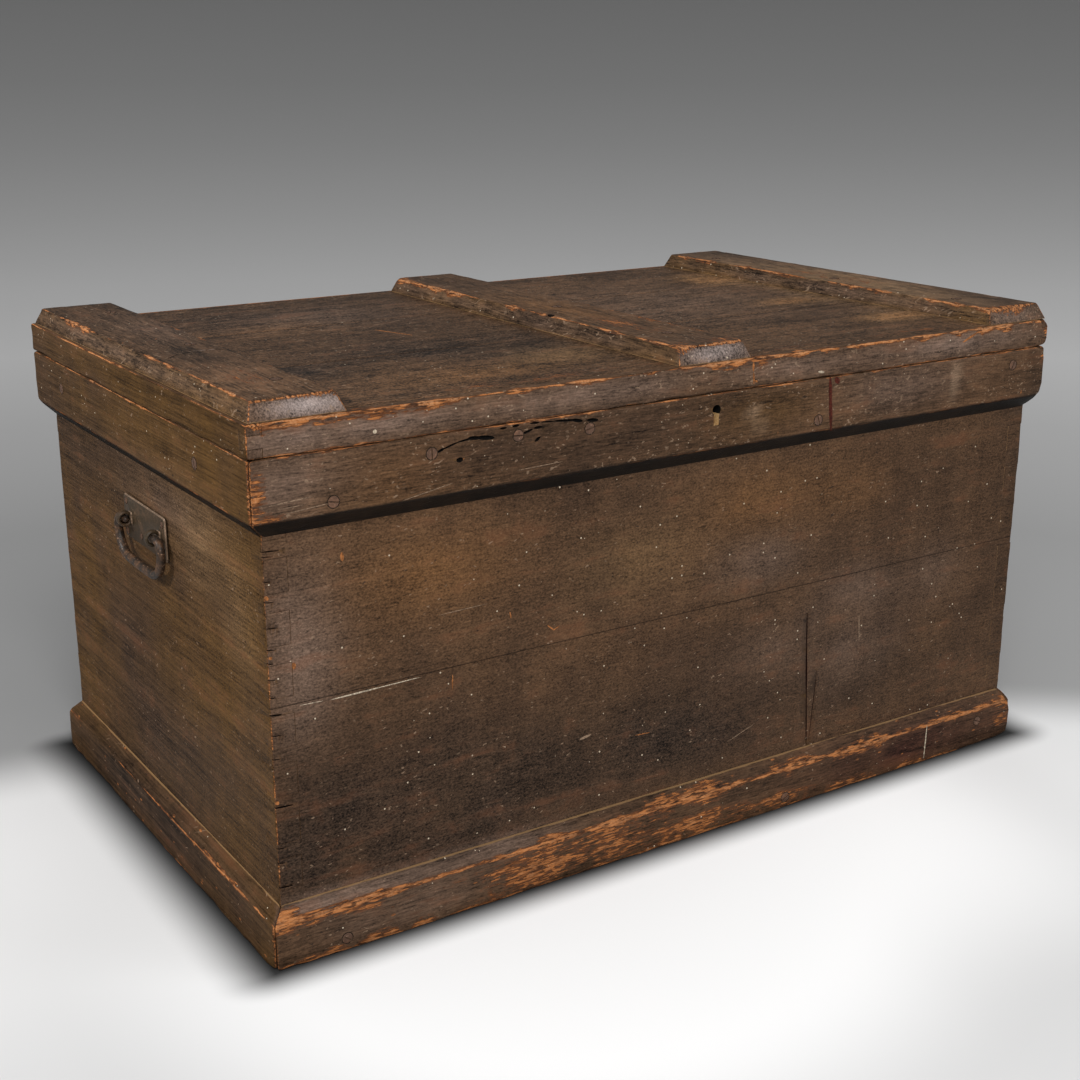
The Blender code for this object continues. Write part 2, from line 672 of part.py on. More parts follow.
def build_till(level, top_z, height, depth, raw_wood):
    """An open tray that rests on its runners against the back of the chest."""
    half = HALF_INNER - TILL_END_CLEAR
    back_y = BACK_INNER_Y - TILL_BACK_CLEAR
    front_y = back_y - depth
    low_z = top_z - height
    wall_z = low_z + TILL_BOTTOM + FIT
    slide = make_axis(f"{level}_till_slide", (0, (front_y + back_y) / 2, low_z))
    name = f"{level}_till"
    low = (-half, front_y, low_z)
    high = (half, back_y, low_z + TILL_BOTTOM)
    make_block(f"{name}_bottom", low, high, raw_wood, slide)
    pins = pins_between_tails(wall_z, top_z, TILL_TAIL_PITCH, TILL_TAIL_WIDTH)
    for side, y_outer, inward in (("front", front_y, 1), ("back", back_y, -1)):
        y_inner = y_outer + inward * TILL_WALL
        make_pin_board(
            f"{name}_{side}", half, TILL_WALL + FIT, y_outer, y_inner, wall_z, top_z, pins, raw_wood, slide
        )
    ends = (front_y, back_y)
    sockets = (TILL_WALL + FIT, TILL_WALL + FIT)
    for side, sign in (("left", -1), ("right", 1)):
        x_inner = sign * (half - TILL_WALL)
        make_tail_board(
            f"{name}_{side}", x_inner, sign * half, ends, sockets, wall_z, top_z, pins, raw_wood, slide
        )


def main():
    clear_scene()
    stained_wood = make_material("stained_pine", (0.060, 0.040, 0.026), 0.55, 0)
    raw_wood = make_material("bare_pine", (0.36, 0.22, 0.11), 0.7, 0)
    wrought_iron = make_material("wrought_iron", (0.055, 0.045, 0.040), 0.55, 0.7)
    lock_iron = make_material("lock_iron", (0.16, 0.13, 0.10), 0.45, 0.8)

    boards = build_carcass(stained_wood, raw_wood)
    frame = build_skirt_and_plinth(stained_wood)
    lid_axis = make_axis("lid_axis", (0, HINGE_Y, HINGE_Z))
    panel = build_lid(stained_wood, lid_axis)
    back_board = boards["back_upper_board"]
    build_hinges(lock_iron, lid_axis, frame["hinge_rail"], back_board, panel["lid_back_board"])
    front_board = boards["front_upper_board"]
    build_lock(lock_iron, lid_axis, frame["skirt_front"], front_board, panel["lid_front_board"])
    for side, sign in (("left", -1), ("right", 1)):
        build_handle(side, sign, wrought_iron)
    build_runners(raw_wood)
    build_till("upper", UPPER_TILL_TOP_Z, UPPER_TILL_HEIGHT, UPPER_TILL_DEPTH, raw_wood)
    build_till("lower", LOWER_TILL_TOP_Z, LOWER_TILL_HEIGHT, LOWER_TILL_DEPTH, raw_wood)


main()
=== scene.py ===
import json
import math

import bmesh
import bpy
import numpy as np
from mathutils import Matrix, Vector


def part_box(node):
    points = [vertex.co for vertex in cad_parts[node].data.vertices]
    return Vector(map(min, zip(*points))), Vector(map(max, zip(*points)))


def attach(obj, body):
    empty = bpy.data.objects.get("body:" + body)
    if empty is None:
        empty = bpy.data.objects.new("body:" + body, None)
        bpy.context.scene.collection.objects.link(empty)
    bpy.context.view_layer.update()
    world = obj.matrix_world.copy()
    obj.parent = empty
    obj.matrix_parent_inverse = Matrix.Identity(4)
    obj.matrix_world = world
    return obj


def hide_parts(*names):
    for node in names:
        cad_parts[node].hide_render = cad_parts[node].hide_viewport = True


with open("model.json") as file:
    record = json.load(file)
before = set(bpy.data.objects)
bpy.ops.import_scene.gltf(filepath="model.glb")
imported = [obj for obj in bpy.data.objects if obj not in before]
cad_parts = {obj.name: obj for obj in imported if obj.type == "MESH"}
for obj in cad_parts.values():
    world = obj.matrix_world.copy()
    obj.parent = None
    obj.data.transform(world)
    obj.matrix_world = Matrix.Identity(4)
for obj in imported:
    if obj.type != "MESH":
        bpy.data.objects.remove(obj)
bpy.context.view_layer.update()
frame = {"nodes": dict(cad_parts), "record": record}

bl_info = {
    "name": "Pine tool chest",
    "version": (1, 0, 0),
    "blender": (4, 5, 0),
    "location": "View3D > Sidebar > Chest",
    "description": "Dresses the packed tool chest: weathered boards, ironwork, marks and a studio",
    "category": "Add Mesh",
}

NODES = frame["nodes"]
BODY_OF = {node: body for body, nodes in frame["record"]["behaviour"]["bodies"].items() for node in nodes}

# Sizes that the solids already have, read from the nodes
CARCASS_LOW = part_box("front_lower_board")[0]
CARCASS_HIGH = Vector((
    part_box("front_upper_board")[1].x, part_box("back_upper_board")[1].y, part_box("left_upper_board")[1].z
))
FRONT_Y = CARCASS_LOW.y
HALF = CARCASS_HIGH.x
LID_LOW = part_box("rim_left")[0]
LID_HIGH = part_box("rim_right")[1]
SEAM_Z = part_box("front_upper_board")[0].z

# Sizes that the solids have and their boxes don't tell
SKIRT_CHAMFER = 0.0145
PLINTH_CHAMFER = 0.013
FIT = 0.0003
PLATE_THICK = 0.003
PLATE_FACE = HALF + FIT + PLATE_THICK

TENTHS = 10000  # tenths of a millimetre in a metre
EDGE_LINES = (0.0007, 0.0016, 0.003, 0.005)  # how far from an edge a grid has its closer lines
SPLIT_DEPTH = 0.003
SEAM_DIRT = 0.0014  # reach of the dirt from the seam between two boards
SKIRT_SHADE_REACH = 0.004  # reach of the painted shade under the skirt's foot
PLINTH_FILLER = 0.0022  # reach of the filler between plinth and carcass
BATTEN_FILLER = 0.0012  # reach of the filler under a batten
KNOCK_REACH = 0.025  # how far along a moulding its ends are knocked round
LID_STEP_X, LID_STEP_Y = 0.014, 0.012  # cells of the lid boards' grid
HANDLE_SCREW_SCALE = 0.62

# The keyhole in the skirt: its place along the front, its round eye, and the slot below the eye
KEYHOLE_X = 0.005
EYE_Z, EYE_RADIUS = 0.4472, 0.005
SLOT_Z, SLOT_WIDTH, SLOT_HEIGHT = 0.4399, 0.006, 0.0148
KEYHOLE_DEPTH = 0.04

# The axis each side looks along, and which way
SIDES = {"front": (1, -1), "back": (1, 1), "left": (0, -1), "right": (0, 1), "top": (2, 1), "under": (2, -1)}
GRAIN_OF = {"front": "X", "back": "X", "left": "Y", "right": "Y"}


def outward(side):
    """The direction a side looks in."""
    axis, way = SIDES[side]
    return Vector([way if number == axis else 0 for number in range(3)])


# ---- Settings -----------------------------------------------------------------------------------------------


def colour_setting(name, text, value):
    return bpy.props.FloatVectorProperty(
        name=name, description=text, subtype="COLOR", size=3, min=0, max=1, default=value
    )


class ChestLooks(bpy.types.PropertyGroup):
    """Colours of the finish."""

    umber: colour_setting("Umber", "Darker ground of the scumble", (0.045, 0.0255, 0.0150))
    brown: colour_setting("Brown", "Lighter ground of the scumble", (0.086, 0.046, 0.0235))
    warm: colour_setting("Warm brown", "Where the scumble is thin", (0.130, 0.062, 0.024))
    olive: colour_setting("Olive brown", "Ground of the ends", (0.075, 0.0380, 0.0115))
    # grey is partly a milky bloom in the finish and partly painted sheen, a painted reflection of the lights
    grey: colour_setting("Grey bloom and painted sheen", "Where the finish has gone milky", (0.132, 0.088, 0.066))
    ash: colour_setting("Ash", "Paint polished grey on bevels", (0.29, 0.235, 0.215))
    tan: colour_setting("Tan", "Paint rubbed thin", (0.215, 0.125, 0.055))
    black: colour_setting("Soot", "Old dirt in the finish", (0.022, 0.0145, 0.0105))
    bare_light: colour_setting("Bare pine, light", "Bright bare wood on rubbed edges", (0.36, 0.135, 0.043))
    bare_dark: colour_setting("Bare pine, dark", "Darker bare wood in the grain", (0.100, 0.037, 0.0150))
    # bare_pale is partly fresh wood and partly painted highlight on the sharpest edges
    bare_pale: colour_setting("Bare pine, pale", "Fresh wood on the sharpest edges", (0.56, 0.29, 0.14))
    ox_red: colour_setting("Ox red", "Old red paint in the mended strips", (0.075, 0.014, 0.007))
    undercoat: colour_setting("Undercoat", "Red-brown coat under the scumble", (0.125, 0.048, 0.022))
    scratch: colour_setting("Scratch", "Scratches through the top of the scumble", (0.26, 0.175, 0.115))
    cream: colour_setting("Cream paint", "Specks, drips and filler", (0.55, 0.45, 0.33))
    inside_light: colour_setting("Inside, light", "Aged unpainted pine", (0.42, 0.25, 0.12))
    inside_dark: colour_setting("Inside, dark", "Grain and stains of unpainted pine", (0.20, 0.105, 0.048))
    iron: colour_setting("Iron", "Dark skin of the ironwork", (0.020, 0.014, 0.010))
    rust: colour_setting("Rust", "Rust in the hollows of the ironwork", (0.100, 0.048, 0.022))


# ---- Shader maths -------------------------------------------------------------------------------------------


class Shade:
    """One socket of a material's tree. Arithmetic on it adds Math nodes."""

    def __init__(self, tree, socket):
        self.tree = tree
        self.socket = socket

    def node(self, kind, settings=None, inputs=None, output=0):
        made = self.tree.nodes.new(kind)
        for key, value in (settings or {}).items():
            if key == "stops":
                ramp = made.color_ramp.elements
                while len(ramp) < len(value):
                    ramp.new(0.5)
                for element, (place, colour) in zip(ramp, value):
                    element.position = place
                    element.color = (*colour, 1)
            else:
                setattr(made, key, value)
        for key, value in (inputs or {}).items():
            if isinstance(value, Shade):
                self.tree.links.new(value.socket, made.inputs[key])
            else:
                made.inputs[key].default_value = value
        return Shade(self.tree, made.outputs[output])

    def math(self, operation, *values):
        return self.node("ShaderNodeMath", {"operation": operation}, dict(enumerate(values)))

    def __add__(self, other):
        return self.math("ADD", self, other)

    __radd__ = __add__

    def __sub__(self, other):
        return self.math("SUBTRACT", self, other)

    def __rsub__(self, other):
        return self.math("SUBTRACT", other, self)

    def __mul__(self, other):
        return self.math("MULTIPLY", self, other)

    __rmul__ = __mul__

    def __pow__(self, other):
        return self.math("POWER", self, other)

    def most(self, other):
        return self.math("MAXIMUM", self, other)

    def ease(self, low, high):
        """0 below low, 1 above high, smooth between."""
        inputs = {0: self, 1: low, 2: high, 3: 0.0, 4: 1.0}
        return self.node("ShaderNodeMapRange", {"interpolation_type": "SMOOTHSTEP"}, inputs)

    def mix(self, first, second):
        """Two colours mixed by this factor."""
        first, second = [c if isinstance(c, Shade) else (*c, 1) for c in (first, second)]
        return self.node("ShaderNodeMix", {"data_type": "RGBA"}, {0: self, 6: first, 7: second}, 2)

    def scaled(self, scale, shift=(0, 0, 0)):
        """A place stretched by scale, then moved."""
        grown = self.node("ShaderNodeVectorMath", {"operation": "MULTIPLY"}, {0: self, 1: scale})
        return grown.node("ShaderNodeVectorMath", {"operation": "ADD"}, {0: grown, 1: shift})

    def cloud(self, scale, detail=3.0, rough=0.5, warp=0.0):
        inputs = {"Vector": self, "Scale": scale, "Detail": detail, "Roughness": rough, "Distortion": warp}
        return self.node("ShaderNodeTexNoise", None, inputs)

    def cells(self, scale, output="Distance"):
        return self.node("ShaderNodeTexVoronoi", None, {"Vector": self, "Scale": scale}, output)

    def turned(self, angles):
        """A place turned about X, Y and Z."""
        return self.node("ShaderNodeMapping", None, {"Vector": self, "Rotation": angles})

    def times(self, share):
        """A colour made lighter or darker."""
        return self.node("ShaderNodeVectorMath", {"operation": "SCALE"}, {0: self, "Scale": share})

    def attribute(self, name, output="Fac"):
        return self.node("ShaderNodeAttribute", {"attribute_name": name}, None, output)


def begin_material(name):
    """A new material, its shader and the place on the object."""
    material = bpy.data.materials.new(name)
    material.use_nodes = True
    tree = material.node_tree
    shader = tree.nodes["Principled BSDF"]
    start = Shade(tree, shader.outputs[0])
    place = start.node("ShaderNodeTexCoord", None, None, "Object")
    return material, shader, place


def finish_material(place, shader, colour, roughness, height, gloss, relief=0.5):
    """Links colour and roughness, sets the gloss, and turns a height in metres into the shader's normal."""
    tree = place.tree
    tree.links.new(colour.socket, shader.inputs["Base Color"])
    tree.links.new(roughness.socket, shader.inputs["Roughness"])
    bump = place.node("ShaderNodeBump", None, {"Strength": relief, "Distance": 1.0, "Height": height}, "Normal")
    tree.links.new(bump.socket, shader.inputs["Normal"])
    shader.inputs["Specular IOR Level"].default_value = gloss


# ---- Materials ----------------------------------------------------------------------------------------------


def stretched(grain, length):
    return tuple(length if axis == grain else 1.0 for axis in "XYZ")


def painted_pine(
    name, grain, seed, specks=1.0, grain_length=0.08, contrast=1.0, streaks=1.0, mottled=1.0, gritty=0.6,
    scratched=0.0, pale=0.5, chipped=0.012, gloss=0.08,
):
    """Old brown scumble. The coat attribute tints it and the rubbed attribute takes it down to what is under it.

    grain_length stretches the figure along the grain, and the other shares say how strong each kind of mark is.
    """
    looks = bpy.context.scene.chest_looks
    material, shader, place = begin_material(name)
    moved = place.scaled((1, 1, 1), (seed, seed * 0.7, seed * 1.3))
    along = moved.scaled(stretched(grain, grain_length))
    fibre = along.cloud(620.0, 3.0, 0.6)
    figure = along.cloud(75.0, 4.0, 0.6, 0.5)
    mottle = moved.scaled(stretched(grain, 0.7)).cloud(560.0, 3.0, 0.75)
    dash = moved.scaled(stretched(grain, 0.2)).cloud(430.0, 1.0, 0.5)
    blotch = moved.cloud(28.0, 5.0, 0.62, 0.7)
    wiped = moved.scaled((1, 1, 0.14)).cloud(70.0, 3.0, 0.6)

    coat = place.attribute("coat", "Color")
    depth = place.node("ShaderNodeSeparateColor", None, {0: coat}, 0)
    lively = 1.6 - depth.ease(0.02, 0.055) * 0.8 - depth.ease(0.14, 0.30) * 0.35
    grit = moved.scaled(stretched(grain, 0.45)).cloud(800.0, 2.0, 0.6)
    light = (fibre - 0.5) * (1.2 * streaks) + (figure - 0.5) * (0.9 * streaks) + (mottle - 0.5) * (3.8 * mottled)
    light = light + (blotch - 0.5) * 0.8 + (grit - 0.5) * gritty
    light = light + (wiped - 0.5) * 0.6 + dash.ease(0.62, 0.72) * 0.35 - (1 - dash).ease(0.62, 0.72) * 0.3
    paint = coat.times((1 + light * lively * contrast).most(0.15))
    thin = (figure * 0.6 + blotch * 0.5).ease(0.58, 0.75) * 0.35
    paint = thin.mix(paint, looks.undercoat)

    scratch_turn = {"X": (0.0, 0.35, 0.45), "Y": (0.4, 0.0, -0.4), "Z": (0.3, 0.3, 0.0)}[grain]
    scratches = moved.turned(scratch_turn).scaled(stretched(grain, 0.08)).cloud(380.0, 1.0, 0.4)
    ticks = moved.turned([-angle for angle in scratch_turn]).scaled(stretched(grain, 0.22)).cloud(330.0, 1.0, 0.4)
    found = scratches.ease(0.72 - scratched, 0.76 - scratched).most(ticks.ease(0.74 - scratched, 0.77 - scratched))
    scratch = found * blotch.ease(0.40, 0.60)
    paint = (scratch * 0.6).mix(paint, looks.scratch)
    dents = moved.scaled(stretched(grain, 0.5)).cloud(200.0, 2.0, 0.5).ease(0.71, 0.75)
    paint = (dents * 0.7).mix(paint, looks.black)

    rubbed = place.attribute("rubbed")
    ragged = (fibre - 0.5) * 1.3 + (figure - 0.5) * 1.6 + (dash - 0.5) * 1.2
    ragged = ragged + (mottle - 0.5) * 0.5 + (blotch - 0.5) * 1.3
    through = rubbed + ragged * rubbed.ease(0.02, 0.30)
    hair = along.cloud(1500.0, 2.0, 0.5)
    grain_lines = along.scaled((1, 1, 1), (3.1, 1.7, 2.3)).cloud(480.0, 3.0, 0.65)
    bare_tone = (grain_lines + hair * 0.35).ease(0.55, 0.80)
    bare_mask = through.ease(0.50, 0.56)
    under_mask = through.ease(0.24, 0.50)
    bare_wood = bare_tone.mix(looks.bare_dark, looks.bare_light)
    # The palest wood, where the rubbing goes deepest, is partly fresh wood and partly painted highlight.
    bare_wood = (through.ease(0.70, 1.05) * mottle.ease(0.35, 0.60) * pale).mix(bare_wood, looks.bare_pale)
    torn = (1 - dash).ease(0.55, 0.63) * 0.75
    bare_wood = torn.mix(bare_wood, looks.black)
    colour = (under_mask * 0.8).mix(paint, looks.undercoat)
    # A dark line round the rubbed-through paint, painted shade under its broken edge.
    colour = (through.ease(0.42, 0.50) * 0.45).mix(colour, looks.black)
    colour = bare_mask.mix(colour, bare_wood)

    def drops(shape, scale, share, least, most):
        """Round drops in a few of the cells."""
        dot = moved.scaled(shape).cells(scale)
        chance = moved.scaled(shape).cells(scale, "Color")
        first, second = (place.node("ShaderNodeSeparateColor", None, {0: chance}, output) for output in (0, 1))
        return (first - 1 + share).ease(0.0, 0.001) * (second * (most - least) + least - dot).ease(0.0, 0.07)

    cluster = (0.5 + moved.cloud(8.0, 2.0).ease(0.42, 0.62)) * specks
    speck = drops((1, 1, 1), 250.0, cluster * 0.020, 0.11, 0.28)
    chips = drops((1, 1, 0.4) if chipped < 0.05 else stretched(grain, 0.45), 120.0, chipped, 0.06, 0.20)
    colour = (chips * 0.8).mix(colour, bare_wood)
    colour = (speck * 0.85).mix(colour, looks.cream)

    filler = (place.attribute("joint_line") + (fibre - 0.5) * 0.6 + (blotch - 0.5) * 0.6).ease(0.35, 0.6)
    colour = (filler * 0.7).mix(colour, looks.tan)
    # Dirt along the seams between boards, and painted shade along the skirt's foot, darken the colour towards near
    # black.
    grime = (place.attribute("grime") * (0.7 + blotch * 0.6)).ease(0.1, 0.9)
    colour = grime.mix(colour, (0.006, 0.0045, 0.0035))

    roughness = 0.36 + mottle * 0.22 + bare_mask * 0.2
    relief = fibre * 0.00020 + figure * 0.00025 + mottle * (0.00045 * mottled) + dash * 0.00016
    height = relief - bare_mask * 0.0006 - bare_mask * torn * 0.0006
    height = height + speck * 0.0003 - dents * 0.0005 - scratch * 0.0002
    finish_material(place, shader, colour, roughness, height, gloss, 0.7)
    return material


def bare_pine(name, grain, seed):
    """Unpainted pine gone brown with age, for the inside."""
    looks = bpy.context.scene.chest_looks
    material, shader, place = begin_material(name)
    moved = place.scaled((1, 1, 1), (seed, seed * 0.7, seed * 1.3))
    along = moved.scaled(stretched(grain, 0.05))
    rings = along.cloud(60.0, 3.0, 0.55, 1.2)
    fine = along.cloud(500.0, 4.0, 0.7)
    stain = moved.cloud(9.0, 4.0, 0.6)
    colour = (rings * 0.7 + fine * 0.35).ease(0.35, 0.75).mix(looks.inside_dark, looks.inside_light)
    colour = stain.ease(0.5, 0.75).mix(colour, looks.inside_dark)
    roughness = 0.62 + fine * 0.2
    height = fine * 0.00018 + rings * 0.0002
    finish_material(place, shader, colour, roughness, height, 0.3)
    return material


def old_iron(name, base, rust, painted_glint, seed, metal=0.6):
    """Forged iron: dark skin, rust in the hollows, and specks of a lighter colour spread by noise as painted
    highlights.
    """
    material, shader, place = begin_material(name)
    moved = place.scaled((1, 1, 1), (seed, seed, seed))
    coarse = moved.cloud(90.0, 5.0, 0.65, 0.4)
    pits = moved.cloud(420.0, 4.0, 0.7)
    colour = (coarse * 0.8 + pits * 0.3).ease(0.47, 0.75).mix(base, rust)
    # Painted highlights: the lighter colour where the pits noise is highest.
    colour = pits.ease(0.58, 0.75).mix(colour, painted_glint)
    metallic = metal - coarse.ease(0.45, 0.8) * metal * 0.8
    place.tree.links.new(metallic.socket, shader.inputs["Metallic"])
    roughness = 0.26 + coarse * 0.3 + pits * 0.12
    height = pits * 0.0004 + coarse * 0.0008
    finish_material(place, shader, colour, roughness, height, 0.25)
    return material


def dirt(name, deep=(0.0025, 0.0022, 0.002), dusty=(0.014, 0.010, 0.008)):
    """Two colours mottled by noise, near black unless others are given: dirt and painted shade deep in a split or a
    hole.
    """
    material, shader, place = begin_material(name)
    dust = place.cloud(900.0, 3.0, 0.7)
    colour = dust.ease(0.5, 0.8).mix(deep, dusty)
    finish_material(place, shader, colour, 0.8 + dust * 0.2, dust * 0.0004, 0.1)
    return material


# ---- Modelling ----------------------------------------------------------------------------------------------


def only(piece):
    """Deselects everything but this piece."""
    bpy.ops.object.select_all(action="DESELECT")
    piece.select_set(True)
    bpy.context.view_layer.objects.active = piece


NOISE_TABLE = np.random.default_rng(11).random(1 << 15)


def ripple(places, scale, seed):
    """Smooth noise from 0 to 1 at each place."""
    spot = np.asarray(places) * scale + np.array((1.37, 2.11, 0.73)) * seed + 1000
    cell = np.floor(spot).astype(np.int64)
    part = spot - cell
    part = part * part * (3 - 2 * part)
    total = np.zeros(len(spot))
    for step in np.ndindex(2, 2, 2):
        share = np.prod(np.where(step, part, 1 - part), axis=1)
        key = (cell + step) * (73856093, 19349663, 83492791)
        total += share * NOISE_TABLE[(key[:, 0] ^ key[:, 1] ^ key[:, 2]) & 32767]
    return total


def read_places(piece):
    places = np.empty(len(piece.data.vertices) * 3)
    piece.data.vertices.foreach_get("co", places)
    return places.reshape(-1, 3)


def write_places(piece, places):
    piece.data.vertices.foreach_set("co", places.ravel())
    piece.data.update()


def write_attribute(piece, name, values):
    made = piece.data.attributes.get(name) or piece.data.attributes.new(name, "FLOAT", "POINT")
    made.data.foreach_set("value", np.asarray(values, dtype=np.float32))


def read_attribute(piece, name):
    values = np.zeros(len(piece.data.vertices), dtype=np.float32)
    if name in piece.data.attributes:
        piece.data.attributes[name].data.foreach_get("value", values)
    return values


def lines_along(length, step, fine=(0.0007, 0.0016, 0.003, 0.005, 0.009)):
    """Where a side is cut: close together at both ends, evenly between."""
    near = [f for f in fine if f < length / 2]
    start = near[-1] if near else 0
    count = max(1, round((length - 2 * start) / step))
    between = [start + (length - 2 * start) * i / count for i in range(1, count)]
    return [0.0, *near, *between, *[length - f for f in reversed(near)], length]


def add_block(name, lines):
    """A block with its corner at the origin, cut into a grid along these lines. The last lines are its size."""
    bpy.ops.object.select_all(action="DESELECT")
    bpy.ops.mesh.primitive_cube_add(size=1, location=(0, 0, 0))
    piece = bpy.context.object
    piece.name = piece.data.name = name
    bpy.ops.object.mode_set(mode="EDIT")
    bpy.ops.mesh.select_mode(type="EDGE")
    for axis in range(3):
        bpy.ops.mesh.select_all(action="DESELECT")
        edit = bmesh.from_edit_mesh(piece.data)
        for edge in edit.edges:
            ends = [v.co[axis] for v in edge.verts]
            edge.select_set(abs(ends[0] - ends[1]) > 1e-6)
        bmesh.update_edit_mesh(piece.data)
        bpy.ops.mesh.subdivide(number_cuts=len(lines[axis]) - 2)
    bpy.ops.object.mode_set(mode="OBJECT")
    places = read_places(piece)
    for axis in range(3):
        index = np.rint((places[:, axis] + 0.5) * (len(lines[axis]) - 1)).astype(int)
        places[:, axis] = np.array(lines[axis])[index]
    write_places(piece, places)
    return piece


def copy_solid(node, bevel):
    """A copy of a solid's mesh with its flat faces whole again and a small bevel on its edges."""
    only(NODES[node])
    bpy.ops.object.duplicate(linked=False)
    piece = bpy.context.object
    for key in list(piece.keys()):
        del piece[key]
    piece.parent = None
    piece.name = piece.data.name = node + "_worn"
    bpy.ops.object.mode_set(mode="EDIT")
    bpy.ops.mesh.select_all(action="SELECT")
    bpy.ops.mesh.remove_doubles(threshold=0.00001)
    bpy.ops.mesh.dissolve_limited(angle_limit=math.radians(1))
    if bevel:
        bpy.ops.mesh.select_all(action="DESELECT")
        bpy.ops.mesh.select_mode(type="EDGE")
        bpy.ops.mesh.edges_select_sharp(sharpness=math.radians(30))
        bpy.ops.mesh.bevel(offset=bevel, segments=1, affect="EDGES")
    bpy.ops.object.mode_set(mode="OBJECT")
    return piece


def cuts_along(low, high, axis, step, *fine):
    """The lines inside a box along one axis, as cuts."""
    return [(axis, low[axis] + at) for at in lines_along(high[axis] - low[axis], step, *fine)[1:-1]]


def slice_piece(piece, cuts):
    """Cuts a piece along planes. cuts holds (axis, place) pairs."""
    only(piece)
    bpy.ops.object.mode_set(mode="EDIT")
    for axis, at in cuts:
        bpy.ops.mesh.select_all(action="SELECT")
        co = [0, 0, 0]
        no = [0, 0, 0]
        co[axis] = at
        no[axis] = 1
        bpy.ops.mesh.bisect(plane_co=co, plane_no=no)
    bpy.ops.object.mode_set(mode="OBJECT")


def face_distance(places, low, high, face):
    axis = "xyz".index(face[0])
    return places[:, axis] - low[axis] if face[1] == "-" else high[axis] - places[:, axis]


def rub(places, low, high, edges, seed):
    """How far each place is rubbed.

    Each edge has two faces, a width in metres and, for a band without gaps, its least share.
    """
    rubbed = np.zeros(len(places))
    for number, (one, two, width, *steady) in enumerate(edges):
        away = np.maximum(face_distance(places, low, high, one), face_distance(places, low, high, two))
        swing = ripple(places, 14.0, seed + number) * ripple(places, 55.0, seed + number + 9)
        share = np.clip(5.0 * swing - 0.35, *(steady or (0.0,)), 2.6)
        rubbed = np.maximum(rubbed, (1.0 - away / (width * share + 0.0003)) * np.clip(share * 2.2, 0, 1))
    return np.clip(rubbed, 0.0, 1.0)


def round_off(places, low, high, radius):
    """The places of a box's surface drawn in round its edges. radius has one value for each place."""
    low = np.array(low)
    high = np.array(high)
    middle = (low + high) / 2
    half = (high - low) / 2
    radius = np.minimum(radius[:, None], half.min())
    local = places - middle
    core = half - radius
    over = np.maximum(np.abs(local) - core, 0.0)
    length = np.linalg.norm(over, axis=1, keepdims=True)
    share = np.where(length > 1e-9, radius / np.maximum(length, 1e-9), 1.0)
    pulled = np.sign(local) * (np.minimum(np.abs(local), core) + over * share)
    corner_like = (over > 1e-7).sum(axis=1) > 1
    return np.where(corner_like[:, None], middle + pulled, places)


def wear_radius(places, least, most, seed):
    """A radius that changes along an edge: small runs, with worn stretches and nicks."""
    slow = ripple(places, 9.0, seed)
    quick = ripple(places, 60.0, seed + 3)
    nick = np.clip(ripple(places, 130.0, seed + 7) * 3 - 1.9, 0, 1)
    return least + (most - least) * np.clip(slow * quick * 2.2 + nick * 0.6, 0, 1.3)


def add_spindle(start, end, width, depth, axis):
    """A long drop with pointed ends, as a split, scar or run of paint has, on a face that looks along axis."""
    start, end = Vector(start), Vector(end)
    run = end - start
    facing = Vector([float(number == axis) for number in range(3)])
    sideways = facing.cross(run).normalized()
    bpy.ops.object.select_all(action="DESELECT")
    bpy.ops.mesh.primitive_uv_sphere_add(segments=14, ring_count=10, radius=0.5)
    drop = bpy.context.object
    drop.scale = (width, depth * 2, run.length * 1.15)
    drop.rotation_euler = Matrix((sideways, facing, run.normalized())).transposed().to_euler()
    drop.location = (start + end) / 2
    bpy.ops.object.transform_apply(location=True, rotation=True, scale=True)
    return drop


def on_face(first, second, axis, level):
    """A place on a face, from its two coordinates there in tenths of a millimetre."""
    spot = [first / TENTHS, second / TENTHS]
    spot.insert(axis, level)
    return spot


def join_pieces(pieces, name):
    """Several finished shapes as one object."""
    bpy.ops.object.select_all(action="DESELECT")
    for piece in pieces:
        piece.select_set(True)
    bpy.context.view_layer.objects.active = pieces[0]
    if len(pieces) > 1:
        bpy.ops.object.join()
    pieces[0].name = pieces[0].data.name = name
    return pieces[0]


def carve(piece, cutters, material):
    """Cuts shapes out of a piece. The new faces take the material."""
    cutter = join_pieces(cutters, "cutter")
    bpy.ops.object.transform_apply(location=True, rotation=True, scale=True)
    cutter.data.materials.append(material)
    if not piece.data.materials:
        piece.data.materials.append(None)
    only(piece)
    cut = piece.modifiers.new("carve", "BOOLEAN")
    cut.operation = "DIFFERENCE"
    cut.solver = "EXACT"
    cut.use_self = True
    cut.material_mode = "TRANSFER"
    cut.object = cutter
    bpy.ops.object.modifier_apply(modifier=cut.name)
    bpy.data.objects.remove(cutter)


def settle(piece, material, body, node, smooth=40):
    """Shading, material and body of a finished piece; hides its node."""
    if len(piece.data.materials) > 1:
        piece.data.materials[0] = material
    else:
        piece.data.materials.clear()
        piece.data.materials.append(material)
    only(piece)
    bpy.ops.object.shade_smooth_by_angle(angle=math.radians(smooth))
    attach(piece, body)
    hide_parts(node)
